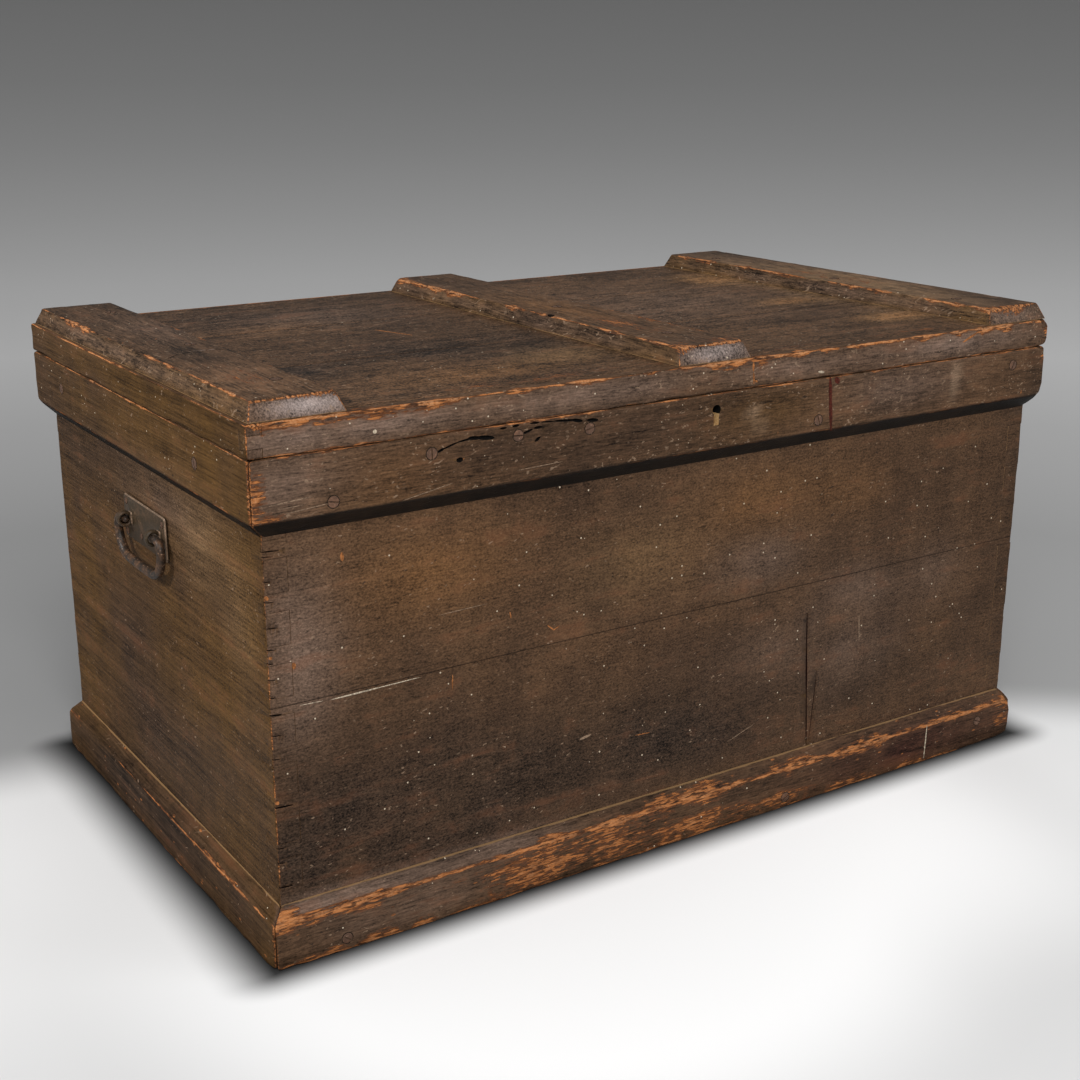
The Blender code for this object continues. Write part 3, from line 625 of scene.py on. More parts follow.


# Where the scumble changes tone on each side: place and reach in millimetres, paint and how much of it.
# Front and back give x and z, the ends y and z, the top x and y.
# The grey patches are partly bloom in the finish and partly painted sheen.
COAT = {
    "front": ("umber", "brown", (
        (-425, 300, 50, 90, "grey", 0.75), (-430, 236, 40, 60, "grey", 0.40),
        (-290, 335, 120, 50, "warm", 0.75), (-163, 338, 90, 40, "brown", 0.60),
        (-70, 307, 100, 50, "tan", 0.22), (77, 344, 90, 45, "warm", 0.60), (200, 336, 100, 45, "warm", 0.45),
        (80, 280, 80, 35, "grey", 0.40), (222, 222, 80, 40, "grey", 0.40), (335, 224, 60, 50, "grey", 0.30),
        # These wide black and umber patches, and those low on the ends, make the faces darker towards the bottom.
        (-386, 140, 120, 80, "black", 0.75), (-427, 90, 70, 60, "black", 0.60),
        (-338, 66, 130, 35, "black", 0.55), (-294, 175, 100, 50, "umber", 0.60),
        (-7, 212, 60, 50, "umber", 0.55), (0, 103, 120, 45, "black", 0.40), (-150, 120, 450, 85, "black", 0.62),
        (300, 110, 250, 70, "black", 0.28), (100, 180, 80, 40, "grey", 0.25), (213, 155, 90, 50, "grey", 0.30),
        (330, 330, 150, 110, "umber", 0.65), (390, 80, 80, 40, "brown", 0.40),
        (-444, 436, 50, 35, "grey", 0.60), (-335, 428, 80, 35, "warm", 0.30),
        (-236, 441, 100, 35, "umber", 0.85), (-60, 440, 120, 35, "umber", 0.95),
        (-40, 440, 120, 35, "black", 0.20), (246, 444, 110, 30, "grey", 0.50),
        (60, 436, 100, 30, "olive", 0.50), (329, 441, 9, 26, "scratch", 0.60), (50, 438, 8, 8, "scratch", 0.55),
        (60, 426, 12, 8, "scratch", 0.50), (-410, 445, 50, 30, "grey", 0.30),
        (-390, 478, 150, 17, "grey", 1.00), (-150, 480, 180, 17, "grey", 0.80),
        (110, 479, 120, 17, "grey", 0.60), (330, 479, 150, 17, "grey", 1.00), (-407, 501, 50, 11, "ash", 1.00),
        (6, 501, 50, 11, "ash", 0.75), (410, 501, 50, 11, "grey", 0.80), (-400, 51, 120, 10, "grey", 0.90),
        (-230, 51, 100, 10, "grey", 0.60), (280, 24, 250, 40, "black", 0.80),
        (300, 24, 220, 40, "ox_red", 0.25), (-350, 20, 150, 25, "black", 0.16),
        (-330, 22, 140, 30, "grey", 0.32),
    )),
    "back": ("umber", "brown", (
        (-300, 300, 150, 80, "warm", 0.50), (250, 200, 200, 70, "grey", 0.40), (0, 80, 300, 50, "black", 0.50),
        (380, 360, 100, 60, "umber", 0.60), (0, 478, 400, 17, "grey", 0.50),
    )),
    "left": ("umber", "olive", (
        (-143, 357, 80, 60, "tan", 0.38), (-50, 370, 150, 60, "grey", 0.28), (-226, 306, 50, 90, "tan", 0.25),
        (72, 215, 100, 60, "umber", 0.55), (-190, 220, 50, 60, "olive", 0.50),
        (110, 312, 80, 60, "olive", 0.60), (-20, 120, 220, 80, "umber", 0.80), (0, 110, 260, 80, "black", 0.25),
        (-194, 83, 60, 40, "olive", 0.50), (0, 436, 300, 30, "olive", 0.60), (0, 478, 300, 17, "olive", 0.70),
        (0, 25, 350, 45, "umber", 0.95), (50, 30, 350, 40, "black", 0.55), (0, 501, 400, 10, "grey", 0.40),
    )),
    "right": ("umber", "olive", (
        (100, 350, 80, 60, "tan", 0.30), (-120, 250, 80, 80, "warm", 0.40), (120, 120, 120, 60, "umber", 0.60),
        (-180, 90, 80, 50, "black", 0.40), (0, 436, 300, 30, "brown", 0.50),
    )),
    "top": ("umber", "brown", (
        (-335, -115, 60, 55, "black", 1.00), (-197, -83, 120, 80, "black", 0.75),
        (-85, -90, 60, 90, "black", 0.65), (-200, 20, 150, 50, "umber", 0.50),
        (-200, -215, 120, 50, "warm", 0.60), (-97, -180, 80, 50, "tan", 0.30),
        (-190, 150, 150, 90, "grey", 0.30), (350, 144, 45, 50, "tan", 1.30), (317, -44, 60, 30, "tan", 1.10),
        (342, -189, 60, 30, "tan", 0.90), (180, 20, 160, 180, "brown", 0.85), (200, 20, 180, 180, "grey", 0.30),
        (350, 144, 45, 40, "bare_light", 0.35), (317, -44, 50, 22, "bare_light", 0.35),
        (345, -189, 55, 22, "bare_light", 0.30), (190, -200, 100, 50, "brown", 0.50),
        (-420, -190, 50, 90, "warm", 0.80), (-420, -190, 50, 90, "grey", 0.30),
        (-420, -60, 50, 120, "black", 0.60), (-404, 80, 50, 120, "grey", 0.30), (0, -40, 50, 160, "warm", 0.75),
        (410, -20, 60, 280, "grey", 0.80), (410, -20, 60, 280, "tan", 0.70),
    )),
    "under": ("umber", "brown", ()),
}

# Where a face is rubbed through to the wood, away from its edges: place and reach in millimetres, and how much
WORN = {
    "front": (
        (-170, 20, 120, 30, 0.61), (-100, 23, 100, 30, 0.60), (0, 14, 110, 18, 0.50), (90, 10, 110, 12, 0.55),
        (-240, 30, 80, 14, 0.45), (450, 20, 25, 30, 0.35), (-455, 6, 20, 10, 0.55), (-466, 430, 8, 40, 0.75),
        (-455, 412, 18, 7, 0.75),
    ),
    "left": (
        (-294, 430, 4, 40, 0.60),
    ),
    "top": (
        (-200, -262, 180, 22, 0.36), (50, -268, 200, 18, 0.34), (300, -270, 150, 16, 0.30),
        (410, 0, 50, 200, 0.26), (0, -150, 50, 120, 0.28), (-420, -200, 50, 80, 0.26),
    ),
}

# The marks from here on are in tenths of a millimetre.
# Ticks in the front corner of the carcass: height, length and width
CORNER_TICKS = (
    (3820, 140, 12), (3775, 90, 8), (3560, 60, 8), (3380, 80, 10), (3150, 100, 9), (2960, 70, 9),
    (2840, 50, 11), (2690, 60, 8), (2530, 60, 10), (2370, 100, 16), (2180, 90, 9), (1965, 60, 9),
    (1510, 160, 18), (1120, 80, 10), (980, 60, 10), (740, 120, 14),
)
CORNER = -HALF * TENTHS
TICK_PATHS = tuple((width, CORNER - 10, z, CORNER + length, z - 10) for z, length, width in CORNER_TICKS)

# Splits cut into a piece: the axis its face looks along, the level of the face in metres, and paths on the face,
# each with its width and then its points
SPLITS = {
    **{
        f"{side}_{level}_board": (1, FRONT_Y, TICK_PATHS)
        for side in ("front", "left") for level in ("upper", "lower")
    },
    "batten_left": (2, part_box("batten_left")[1].z, (
        (13, -4510, -770, -4370, -640, -4220, -575, -4050, -580, -3890, -614),
    )),
    "batten_middle": (2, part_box("batten_middle")[1].z, ((60, -300, -680, -296, -575),)),
}

# Splits on the skirt's face, black with dirt and painted shade: width and points
SKIRT_SPLITS = (
    (26, -2985, 4475, -2920, 4500), (18, -2930, 4495, -2790, 4535, -2630, 4555), (36, -2680, 4556, -2560, 4545),
    (42, -2590, 4550, -2430, 4528), (46, -2800, 4376, -2742, 4380), (22, -2360, 4598, -2300, 4600),
    (26, -2230, 4602, -2170, 4606), (20, -2050, 4608, -1960, 4604), (14, -1930, 4604, -1800, 4596),
    (24, -1790, 4596, -1560, 4578), (36, -1600, 4582, -1500, 4560), (36, -1440, 4560, -1330, 4548),
    (24, -2140, 4520, -2030, 4552), (26, -2010, 4560, -1930, 4562), (30, -2000, 4440, -1950, 4470),
)


def side_masks(normals):
    """For each side of the chest, which of these normals face it."""
    facing = np.stack([normals[:, axis] * way for axis, way in SIDES.values()], axis=1)
    nearest = np.argmax(np.round(facing, 2), axis=1)
    for number, (side, (axis, way)) in enumerate(SIDES.items()):
        yield side, nearest == number, [a for a in range(3) if a != axis]


def spread(flat, patch):
    """1 at the middle of a patch on a side, falling away by its reach."""
    place, reach = np.array(patch).reshape(2, 2) / 1000
    return np.exp(-2 * (((flat - place) / reach) ** 2).sum(axis=1))


def coat_piece(piece):
    """Writes the paint's tone and the worn patches on a finished piece, from the tables."""
    looks = bpy.context.scene.chest_looks
    places = read_places(piece)
    normals = np.empty(places.size)
    piece.data.vertices.foreach_get("normal", normals)
    rubbed = read_attribute(piece, "rubbed")
    coat = np.zeros((len(places), 4))
    coat[:, 3] = 1
    for side, mask, axes in side_masks(normals.reshape(-1, 3)):
        if not mask.any():
            continue
        spots = places[mask]
        flat = spots[:, axes]
        ground, lighter, patches = COAT[side]
        drift = ripple(spots, 8.0, 3) * 0.6 + ripple(spots, 30.0, 4) * 0.4
        low, high = np.array(getattr(looks, ground)), np.array(getattr(looks, lighter))
        tone = low + (high - low) * np.clip(drift * 1.6 - 0.3, 0, 1)[:, None]
        uneven = 0.6 + 0.8 * (ripple(spots, 25.0, 5) * 0.6 + ripple(spots, 70.0, 6) * 0.4)
        for *patch, paint, amount in patches:
            share = np.clip(spread(flat, patch) * amount * uneven, 0, 1)[:, None]
            tone = tone + (np.array(getattr(looks, paint)) - tone) * share
        coat[mask, :3] = tone
        for *patch, amount in WORN.get(side, ()):
            rubbed[mask] = np.maximum(rubbed[mask], spread(flat, patch) * amount)
    made = piece.data.attributes.get("coat") or piece.data.attributes.new("coat", "FLOAT_COLOR", "POINT")
    made.data.foreach_set("color", coat.astype(np.float32).ravel())
    write_attribute(piece, "rubbed", rubbed)


def paint_faces(piece, material, facing):
    """Gives the faces that look one way another material."""
    piece.data.materials.append(material)
    number = len(piece.data.materials) - 1
    for face in piece.data.polygons:
        if face.material_index == 0 and face.normal.dot(facing) > 0.9:
            face.material_index = number


# ---- Pieces -------------------------------------------------------------------------------------------------


# How painted_pine differs from piece to piece, by the way the grain runs
BOARD_GRAIN = {
    "X": {"grain_length": 0.10, "gloss": 0.06},
    "Y": {"grain_length": 0.03, "gloss": 0.025, "streaks": 2.2, "contrast": 0.9, "specks": 0.7},
}
MOULDING_GRAIN = {
    "X": {
        "grain_length": 0.09, "gloss": 0.06, "streaks": 2.2, "contrast": 1.1, "mottled": 0.40, "gritty": 1.2,
        "scratched": 0.045, "specks": 1.6,
    },
    "Y": {
        "grain_length": 0.03, "gloss": 0.025, "streaks": 2.2, "contrast": 0.9, "mottled": 0.35, "gritty": 0.9,
        "scratched": 0.015, "specks": 0.8,
    },
}
LID_GRAIN = {
    "grain_length": 0.12, "contrast": 2.2, "streaks": 1.4, "mottled": 0.8, "gritty": 1.4, "scratched": 0.04,
    "specks": 1.4,
}
BATTEN_GRAIN = {
    "contrast": 1.6, "streaks": 2.0, "mottled": 0.3, "gritty": 0.8, "scratched": 0.055, "specks": 1.8,
    "chipped": 0.03,
}


def cut_splits(piece, splits, material):
    """Carves the splits of a table into a piece."""
    axis, level, paths = splits
    cutters = []
    for width, *path in paths:
        spots = [on_face(first, second, axis, level) for first, second in zip(path[::2], path[1::2])]
        for start, end in zip(spots, spots[1:]):
            cutters.append(add_spindle(start, end, width / TENTHS, SPLIT_DEPTH, axis))
    carve(piece, cutters, material)


class CHEST_OT_carcass(bpy.types.Operator):
    """Front, back and end boards with their dovetails"""

    bl_idname = "chest.carcass"
    bl_label = "Carcass boards"

    def execute(self, context):
        inside = {axis: bare_pine(f"inside_pine_{axis}", axis, 2.0) for axis in "XY"}
        paints = {
            side: painted_pine(f"{side}_paint", grain, 1.0 + number * 2, **BOARD_GRAIN[grain])
            for number, (side, grain) in enumerate(GRAIN_OF.items())
        }
        edges = [("x-", "y-", 0.0007), ("x-", "y+", 0.0011), ("x+", "y-", 0.0011), ("x+", "y+", 0.0011)]
        black = dirt("tick_dirt_and_shade")
        red = dirt("split_red", (0.010, 0.0025, 0.0020), (0.045, 0.009, 0.007))
        gash = (1, FRONT_Y, (
            (16, 1483, 2075, 1500, 1650), (24, 1497, 1720, 1530, 1150), (18, 1528, 1200, 1565, 590),
            (10, 1660, 1380, 1600, 660),
        ))
        for number, (side, grain) in enumerate(GRAIN_OF.items()):
            axis = SIDES[side][0]
            for level in ("lower", "upper"):
                node = f"{side}_{level}_board"
                piece = copy_solid(node, 0.0001)
                low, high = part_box(node)
                cuts = cuts_along(low, high, 2, 0.011, (0.0006, 0.0016, 0.004))
                cuts += cuts_along(low, high, 1 - axis, 0.014) + cuts_along(low, high, axis, 0.008)
                if node == "front_lower_board":
                    cut_splits(piece, gash, red)
                if node in SPLITS:
                    cut_splits(piece, SPLITS[node], black)
                slice_piece(piece, cuts)
                places = read_places(piece)
                rubbed = rub(places, CARCASS_LOW, CARCASS_HIGH, edges, 20 + number) * 0.72
                radius = wear_radius(places, 0.0010, 0.0030, 30 + number)
                write_places(piece, round_off(places, CARCASS_LOW, CARCASS_HIGH, radius))
                write_attribute(piece, "rubbed", rubbed)
                seam = np.abs(places[:, 2] - SEAM_Z)
                dirty = 0.6 if grain == "X" else 0.2
                write_attribute(piece, "grime", np.clip(1 - seam / SEAM_DIRT, 0, 1) * dirty)
                coat_piece(piece)
                settle(piece, paints[side], "chest", node)
                for other, paint in paints.items():
                    if SIDES[other][0] != axis:
                        paint_faces(piece, paint, outward(other))
                paint_faces(piece, inside[grain], -outward(side))
        return {"FINISHED"}


# How much rounder the two ends of each side are
KNOCKED = {"front": (0.0015, 0.0075), "right": (0.0075, 0.003), "back": (0.002, 0.003), "left": (0.0015, 0.002)}


def moulding(kind, side, edges, least, most, seed):
    """One side of the skirt or plinth, straight at first, then given its chamfer and mitres."""
    node = f"{kind}_{side}"
    low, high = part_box(node)
    across, outwards = SIDES[side]
    along = 1 - across
    size = (high[along] - low[along], high[across] - low[across], high.z - low.z)
    lines = [lines_along(length, step, EDGE_LINES) for length, step in zip(size, (0.007, 0.006, 0.011))]
    piece = add_block(node + "_worn", lines)
    places = read_places(piece)
    box_low = (0, 0, 0)
    rubbed = rub(places, box_low, size, edges, seed)
    line = np.zeros(len(places))
    grime = np.zeros(len(places))
    if kind == "plinth":
        foot = face_distance(places, box_low, size, "y-") + face_distance(places, box_low, size, "z+")
        line = np.clip(1 - foot / PLINTH_FILLER, 0, 1) * (0.5 + ripple(places, 12.0, seed + 5) * 0.8)
    else:
        # Under the skirt the colour darkens towards its foot as painted shade.
        foot = face_distance(places, box_low, size, "z-")
        grime = np.clip(1 - foot / SKIRT_SHADE_REACH, 0, 1) * 0.8
    first, last = KNOCKED[side]
    ends = (0, KNOCK_REACH, size[0] - KNOCK_REACH, size[0])
    knocked = np.interp(places[:, 0], ends, (first, 0, 0, last))
    shaped = round_off(places, (0, -0.05, 0), size, wear_radius(places, least, most, seed + 2) + knocked)
    out = shaped[:, 1] / size[1]
    up = shaped[:, 2] / size[2]
    if kind == "skirt":
        foot_z = low.z + SKIRT_CHAMFER * out
        z = foot_z + up * (high.z - foot_z)
    else:
        top_z = high.z - PLINTH_CHAMFER * out
        z = low.z + up * (top_z - low.z)
    half = size[0] / 2
    thick = size[1]
    mitre = (shaped[:, 0] - half) / half * (half - thick + thick * out)
    world = np.empty_like(places)
    world[:, 2] = z
    inner = high[across] if outwards < 0 else low[across]
    world[:, across] = inner + outwards * thick * out
    world[:, along] = (low[along] + high[along]) / 2 + mitre
    write_places(piece, world)
    write_attribute(piece, "rubbed", rubbed)
    write_attribute(piece, "joint_line", line)
    write_attribute(piece, "grime", grime)
    only(piece)
    bpy.ops.object.mode_set(mode="EDIT")
    bpy.ops.mesh.select_all(action="SELECT")
    bpy.ops.mesh.normals_make_consistent(inside=False)
    bpy.ops.object.mode_set(mode="OBJECT")
    return piece


class CHEST_OT_skirt(bpy.types.Operator):
    """Mitred skirt with its chamfer underneath and the keyhole"""

    bl_idname = "chest.skirt"
    bl_label = "Skirt"

    def cut_front(self, piece):
        """The keyhole, with a black eye as painted shade and a pale slot as painted light, and the black splits under
        the lid.
        """
        black = dirt("split_dirt_and_shade")
        fresh = dirt("keyhole_painted_light", (0.45, 0.28, 0.12), (0.88, 0.68, 0.40))
        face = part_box("skirt_front")[0].y
        bpy.ops.mesh.primitive_cylinder_add(
            vertices=24, radius=EYE_RADIUS, depth=KEYHOLE_DEPTH, location=(KEYHOLE_X, face, EYE_Z),
            rotation=(math.radians(90), 0, 0),
        )
        eye = bpy.context.object
        bpy.ops.mesh.primitive_cube_add(
            size=1, location=(KEYHOLE_X, face, SLOT_Z), scale=(SLOT_WIDTH, KEYHOLE_DEPTH, SLOT_HEIGHT)
        )
        slot = bpy.context.object
        carve(piece, [slot], fresh)
        carve(piece, [eye], black)
        cut_splits(piece, (1, face, SKIRT_SPLITS), black)

    def execute(self, context):
        for number, (side, grain) in enumerate(GRAIN_OF.items()):
            upper = 0.0010 if side == "left" else 0.0024
            edges = [("y+", "z+", upper), ("y+", "z-", 0.0014), ("x-", "y+", 0.003), ("x+", "y+", 0.003)]
            material = painted_pine(f"skirt_{side}_paint", grain, 11.0 + number * 2, **MOULDING_GRAIN[grain])
            piece = moulding("skirt", side, edges, 0.0008, 0.0032, 40 + number)
            if side == "front":
                self.cut_front(piece)
            coat_piece(piece)
            settle(piece, material, "chest", f"skirt_{side}")
        return {"FINISHED"}


class CHEST_OT_plinth(bpy.types.Operator):
    """Mitred plinth, the most worn part of the chest"""

    bl_idname = "chest.plinth"
    bl_label = "Plinth"

    def execute(self, context):
        wide = {"front": (0.008, 0.010), "back": (0.006, 0.006), "left": (0.0014, 0.0016), "right": (0.005, 0.005)}
        for number, (side, (upper, lower)) in enumerate(wide.items()):
            steady = 0.4 if side == "front" else 0.0
            edges = [("y+", "z+", upper, steady), ("y+", "z-", lower), ("x-", "y+", 0.003), ("x+", "y+", 0.006)]
            grain = GRAIN_OF[side]
            finish = {**MOULDING_GRAIN[grain], "scratched": 0.0, "pale": 0.25, "chipped": 0.45}
            material = painted_pine(f"plinth_{side}_paint", grain, 3.5 + number * 2, **finish)
            piece = moulding("plinth", side, edges, 0.0010, 0.0050, 60 + number)
            coat_piece(piece)
            settle(piece, material, "chest", f"plinth_{side}")
        return {"FINISHED"}


class CHEST_OT_lid(bpy.types.Operator):
    """Lid rim, lid boards and hinge rail"""

    bl_idname = "chest.lid"
    bl_label = "Lid rim and boards"

    def execute(self, context):
        inside = {axis: bare_pine(f"lid_inside_pine_{axis}", axis, 4.0) for axis in "XY"}
        edges = [
            ("y-", "z+", 0.0055, 0.3), ("y-", "z-", 0.0014), ("x-", "z+", 0.0009), ("x+", "z+", 0.005),
            ("x-", "y-", 0.0016), ("x+", "y-", 0.005), ("y+", "z+", 0.004),
        ]
        for number, side in enumerate(("front", "left", "right")):
            node = f"rim_{side}"
            axis = SIDES[side][0]
            finish = MOULDING_GRAIN[GRAIN_OF[side]]
            material = painted_pine(f"rim_{side}_paint", GRAIN_OF[side], 5.5 + number * 2, chipped=0.03, **finish)
            piece = copy_solid(node, 0.00025)
            low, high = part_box(node)
            cuts = [cut for across in (1 - axis, axis, 2) for cut in cuts_along(low, high, across, 0.007)]
            slice_piece(piece, cuts)
            places = read_places(piece)
            rubbed = rub(places, LID_LOW, LID_HIGH, edges, 80)
            corner = np.hypot(LID_HIGH.x - places[:, 0], places[:, 1] - LID_LOW.y)
            radius = wear_radius(places, 0.0009, 0.0042, 85) + 0.006 * np.clip(1 - corner / 0.03, 0, 1)
            write_places(piece, round_off(places, LID_LOW, LID_HIGH, radius))
            write_attribute(piece, "rubbed", rubbed)
            coat_piece(piece)
            settle(piece, material, "lid", node)
            paint_faces(piece, inside[GRAIN_OF[side]], -outward(side))
        for number, place in enumerate(("front", "middle", "back")):
            node = f"lid_{place}_board"
            material = painted_pine(f"lid_{place}_paint", "X", 8.5 + number * 2, **LID_GRAIN)
            piece = copy_solid(node, 0.0004)
            low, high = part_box(node)
            cuts = [(0, low.x + i * LID_STEP_X) for i in range(1, 66)]
            cuts += [(1, low.y + i * LID_STEP_Y) for i in range(1, int((high.y - low.y) / LID_STEP_Y) + 1)]
            slice_piece(piece, cuts)
            places = read_places(piece)
            write_attribute(piece, "rubbed", rub(places, LID_LOW, LID_HIGH, edges, 80))
            coat_piece(piece)
            settle(piece, material, "lid", node)
            paint_faces(piece, inside["X"], outward("under"))
        piece = copy_solid("hinge_rail", 0.0006)
        slice_piece(piece, [(0, -0.46 + i * 0.02) for i in range(1, 46)])
        material = painted_pine("hinge_rail_paint", "X", 9.0)
        coat_piece(piece)
        settle(piece, material, "chest", "hinge_rail")
        return {"FINISHED"}


class CHEST_OT_battens(bpy.types.Operator):
    """Three battens across the lid with bevels all round"""

    bl_idname = "chest.battens"
    bl_label = "Battens"

    end_bevel: bpy.props.FloatProperty(
        name="End bevel", description="Run of the bevel on the ends", default=0.0085, unit="LENGTH"
    )
    side_bevel: bpy.props.FloatProperty(
        name="Side bevel", description="Run of the bevel on the long sides", default=0.006, unit="LENGTH"
    )

    def execute(self, context):
        edges = [
            ("x-", "z+", 0.0040), ("x+", "z+", 0.0036), ("y-", "z+", 0.0050), ("y+", "z+", 0.004),
            ("x-", "y-", 0.002), ("x+", "y-", 0.002),
        ]
        for number, place in enumerate(("left", "middle", "right")):
            node = f"batten_{place}"
            low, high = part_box(node)
            size = tuple(high - low)
            lines = [lines_along(length, step, EDGE_LINES) for length, step in zip(size, (0.01, 0.007, 0.004))]
            piece = add_block(node + "_worn", lines)
            places = read_places(piece)
            rubbed = rub(places, (0, 0, 0), size, edges, 100 + number)
            foot = face_distance(places, (0, 0, 0), size, "z-")
            write_attribute(piece, "joint_line", np.clip(1 - foot / BATTEN_FILLER, 0, 1) * 0.75)
            shaped = round_off(places, (0, 0, -0.05), size, wear_radius(places, 0.0010, 0.0045, 110 + number))
            up = shaped[:, 2] / size[2]
            world = shaped.copy()
            for axis, run in ((0, self.side_bevel), (1, self.end_bevel)):
                half = size[axis] / 2
                world[:, axis] = half + (shaped[:, axis] - half) * (half - run * up) / half
            write_places(piece, world + np.array(low))
            write_attribute(piece, "rubbed", rubbed)
            if node in SPLITS:
                cut_splits(piece, SPLITS[node], dirt(node + "_dirt"))
            coat_piece(piece)
            material = painted_pine(f"batten_{place}_paint", "Y", 4.5 + number * 2, **BATTEN_GRAIN)
            settle(piece, material, "lid", node)
        return {"FINISHED"}


class CHEST_OT_inside(bpy.types.Operator):
    """Tills, runners and bottom boards"""

    bl_idname = "chest.inside"
    bl_label = "Inside"

    def execute(self, context):
        grains = {axis: bare_pine(f"bare_pine_{axis}", axis, 3.0) for axis in "XY"}
        for node in NODES:
            if node.startswith("bottom_board") or "_runner_" in node or node.endswith(("till_left", "till_right")):
                grain = "Y"
            elif "_till_" in node:
                grain = "X"
            else:
                continue
            settle(copy_solid(node, 0.0008), grains[grain], BODY_OF[node], node)
        return {"FINISHED"}


class CHEST_OT_ironwork(bpy.types.Operator):
    """Handles, hinges and lock"""

    bl_idname = "chest.ironwork"
    bl_label = "Ironwork"

    def execute(self, context):
        looks = context.scene.chest_looks
        forged = old_iron("forged_iron", looks.iron, looks.rust, (0.42, 0.26, 0.17), 2.0, 0.08)
        fitted = old_iron("fitted_iron", (0.10, 0.085, 0.07), looks.rust, (0.3, 0.27, 0.23), 5.0)
        skin = ((0.030, 0.019, 0.009), (0.064, 0.035, 0.017), (0.15, 0.095, 0.055))
        plate_skin = old_iron("handle_plate_iron", *skin, 6.0, 0.05)
        bright = old_iron("worn_and_highlit_iron", (0.13, 0.085, 0.055), (0.26, 0.165, 0.105), (0.50, 0.37, 0.27), 7.0, 0.2)
        for side in ("left", "right"):
            node = f"{side}_handle_plate"
            piece = copy_solid(node, 0.0012)
            settle(piece, plate_skin, "chest", node)
            # The plate's bevelled edges take a lighter iron, partly wear and partly painted highlight.
            piece.data.materials.append(bright)
            for face in piece.data.polygons:
                if 0.3 < abs(face.normal.x) < 0.95 and abs(abs(face.center.x) - PLATE_FACE) < 0.0016:
                    face.material_index = 1
            node = f"{side}_handle_bail"
            piece = copy_solid(node, 0)
            only(piece)
            grow = piece.modifiers.new("rounder", "SUBSURF")
            grow.levels = grow.render_levels = 1
            bpy.ops.object.modifier_apply(modifier=grow.name)
            settle(piece, forged, BODY_OF[node], node, 60)
        for node in NODES:
            if "_hinge_" in node or node.startswith("lock_"):
                settle(copy_solid(node, 0.0003), fitted, BODY_OF[node], node)
        return {"FINISHED"}


# Screw heads: body, the side they are on, the level of its face in metres, and their places in tenths
HANDLE_SCREWS = ((440, 3498), (-545, 3490), (-545, 3190), (440, 3190), (53, 3225))
SCREWS = {
    "skirt_screws": ("chest", "front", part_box("skirt_front")[0].y, (
        (-3975, 4190), (-3043, 4470), (-2175, 4514), (-1414, 4480), (1359, 4210), (4158, 4470),
    )),
    "plinth_screws": ("chest", "front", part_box("plinth_front")[0].y, ((-4000, 125), (1180, 118), (4100, 300))),
    "left_handle_screws": ("chest", "left", -PLATE_FACE, HANDLE_SCREWS),
    "right_handle_screws": ("chest", "right", PLATE_FACE, HANDLE_SCREWS),
    "skirt_left_screws": ("chest", "left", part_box("skirt_left")[0].x, ((-1800, 4370), (1900, 4370))),
    "skirt_right_screws": ("chest", "right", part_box("skirt_right")[1].x, [(y, 4370) for y in (-2000, 0, 2000)]),
    "skirt_back_screws": ("chest", "back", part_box("skirt_back")[1].y, [(x, 4360) for x in range(-4000, 4001, 2000)]),
    "batten_screws": ("lid", "top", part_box("batten_left")[1].z, [
        (x, y) for x in (-4080, 60, 4080) for y in (-2150, -200, 2050)
    ]),
}


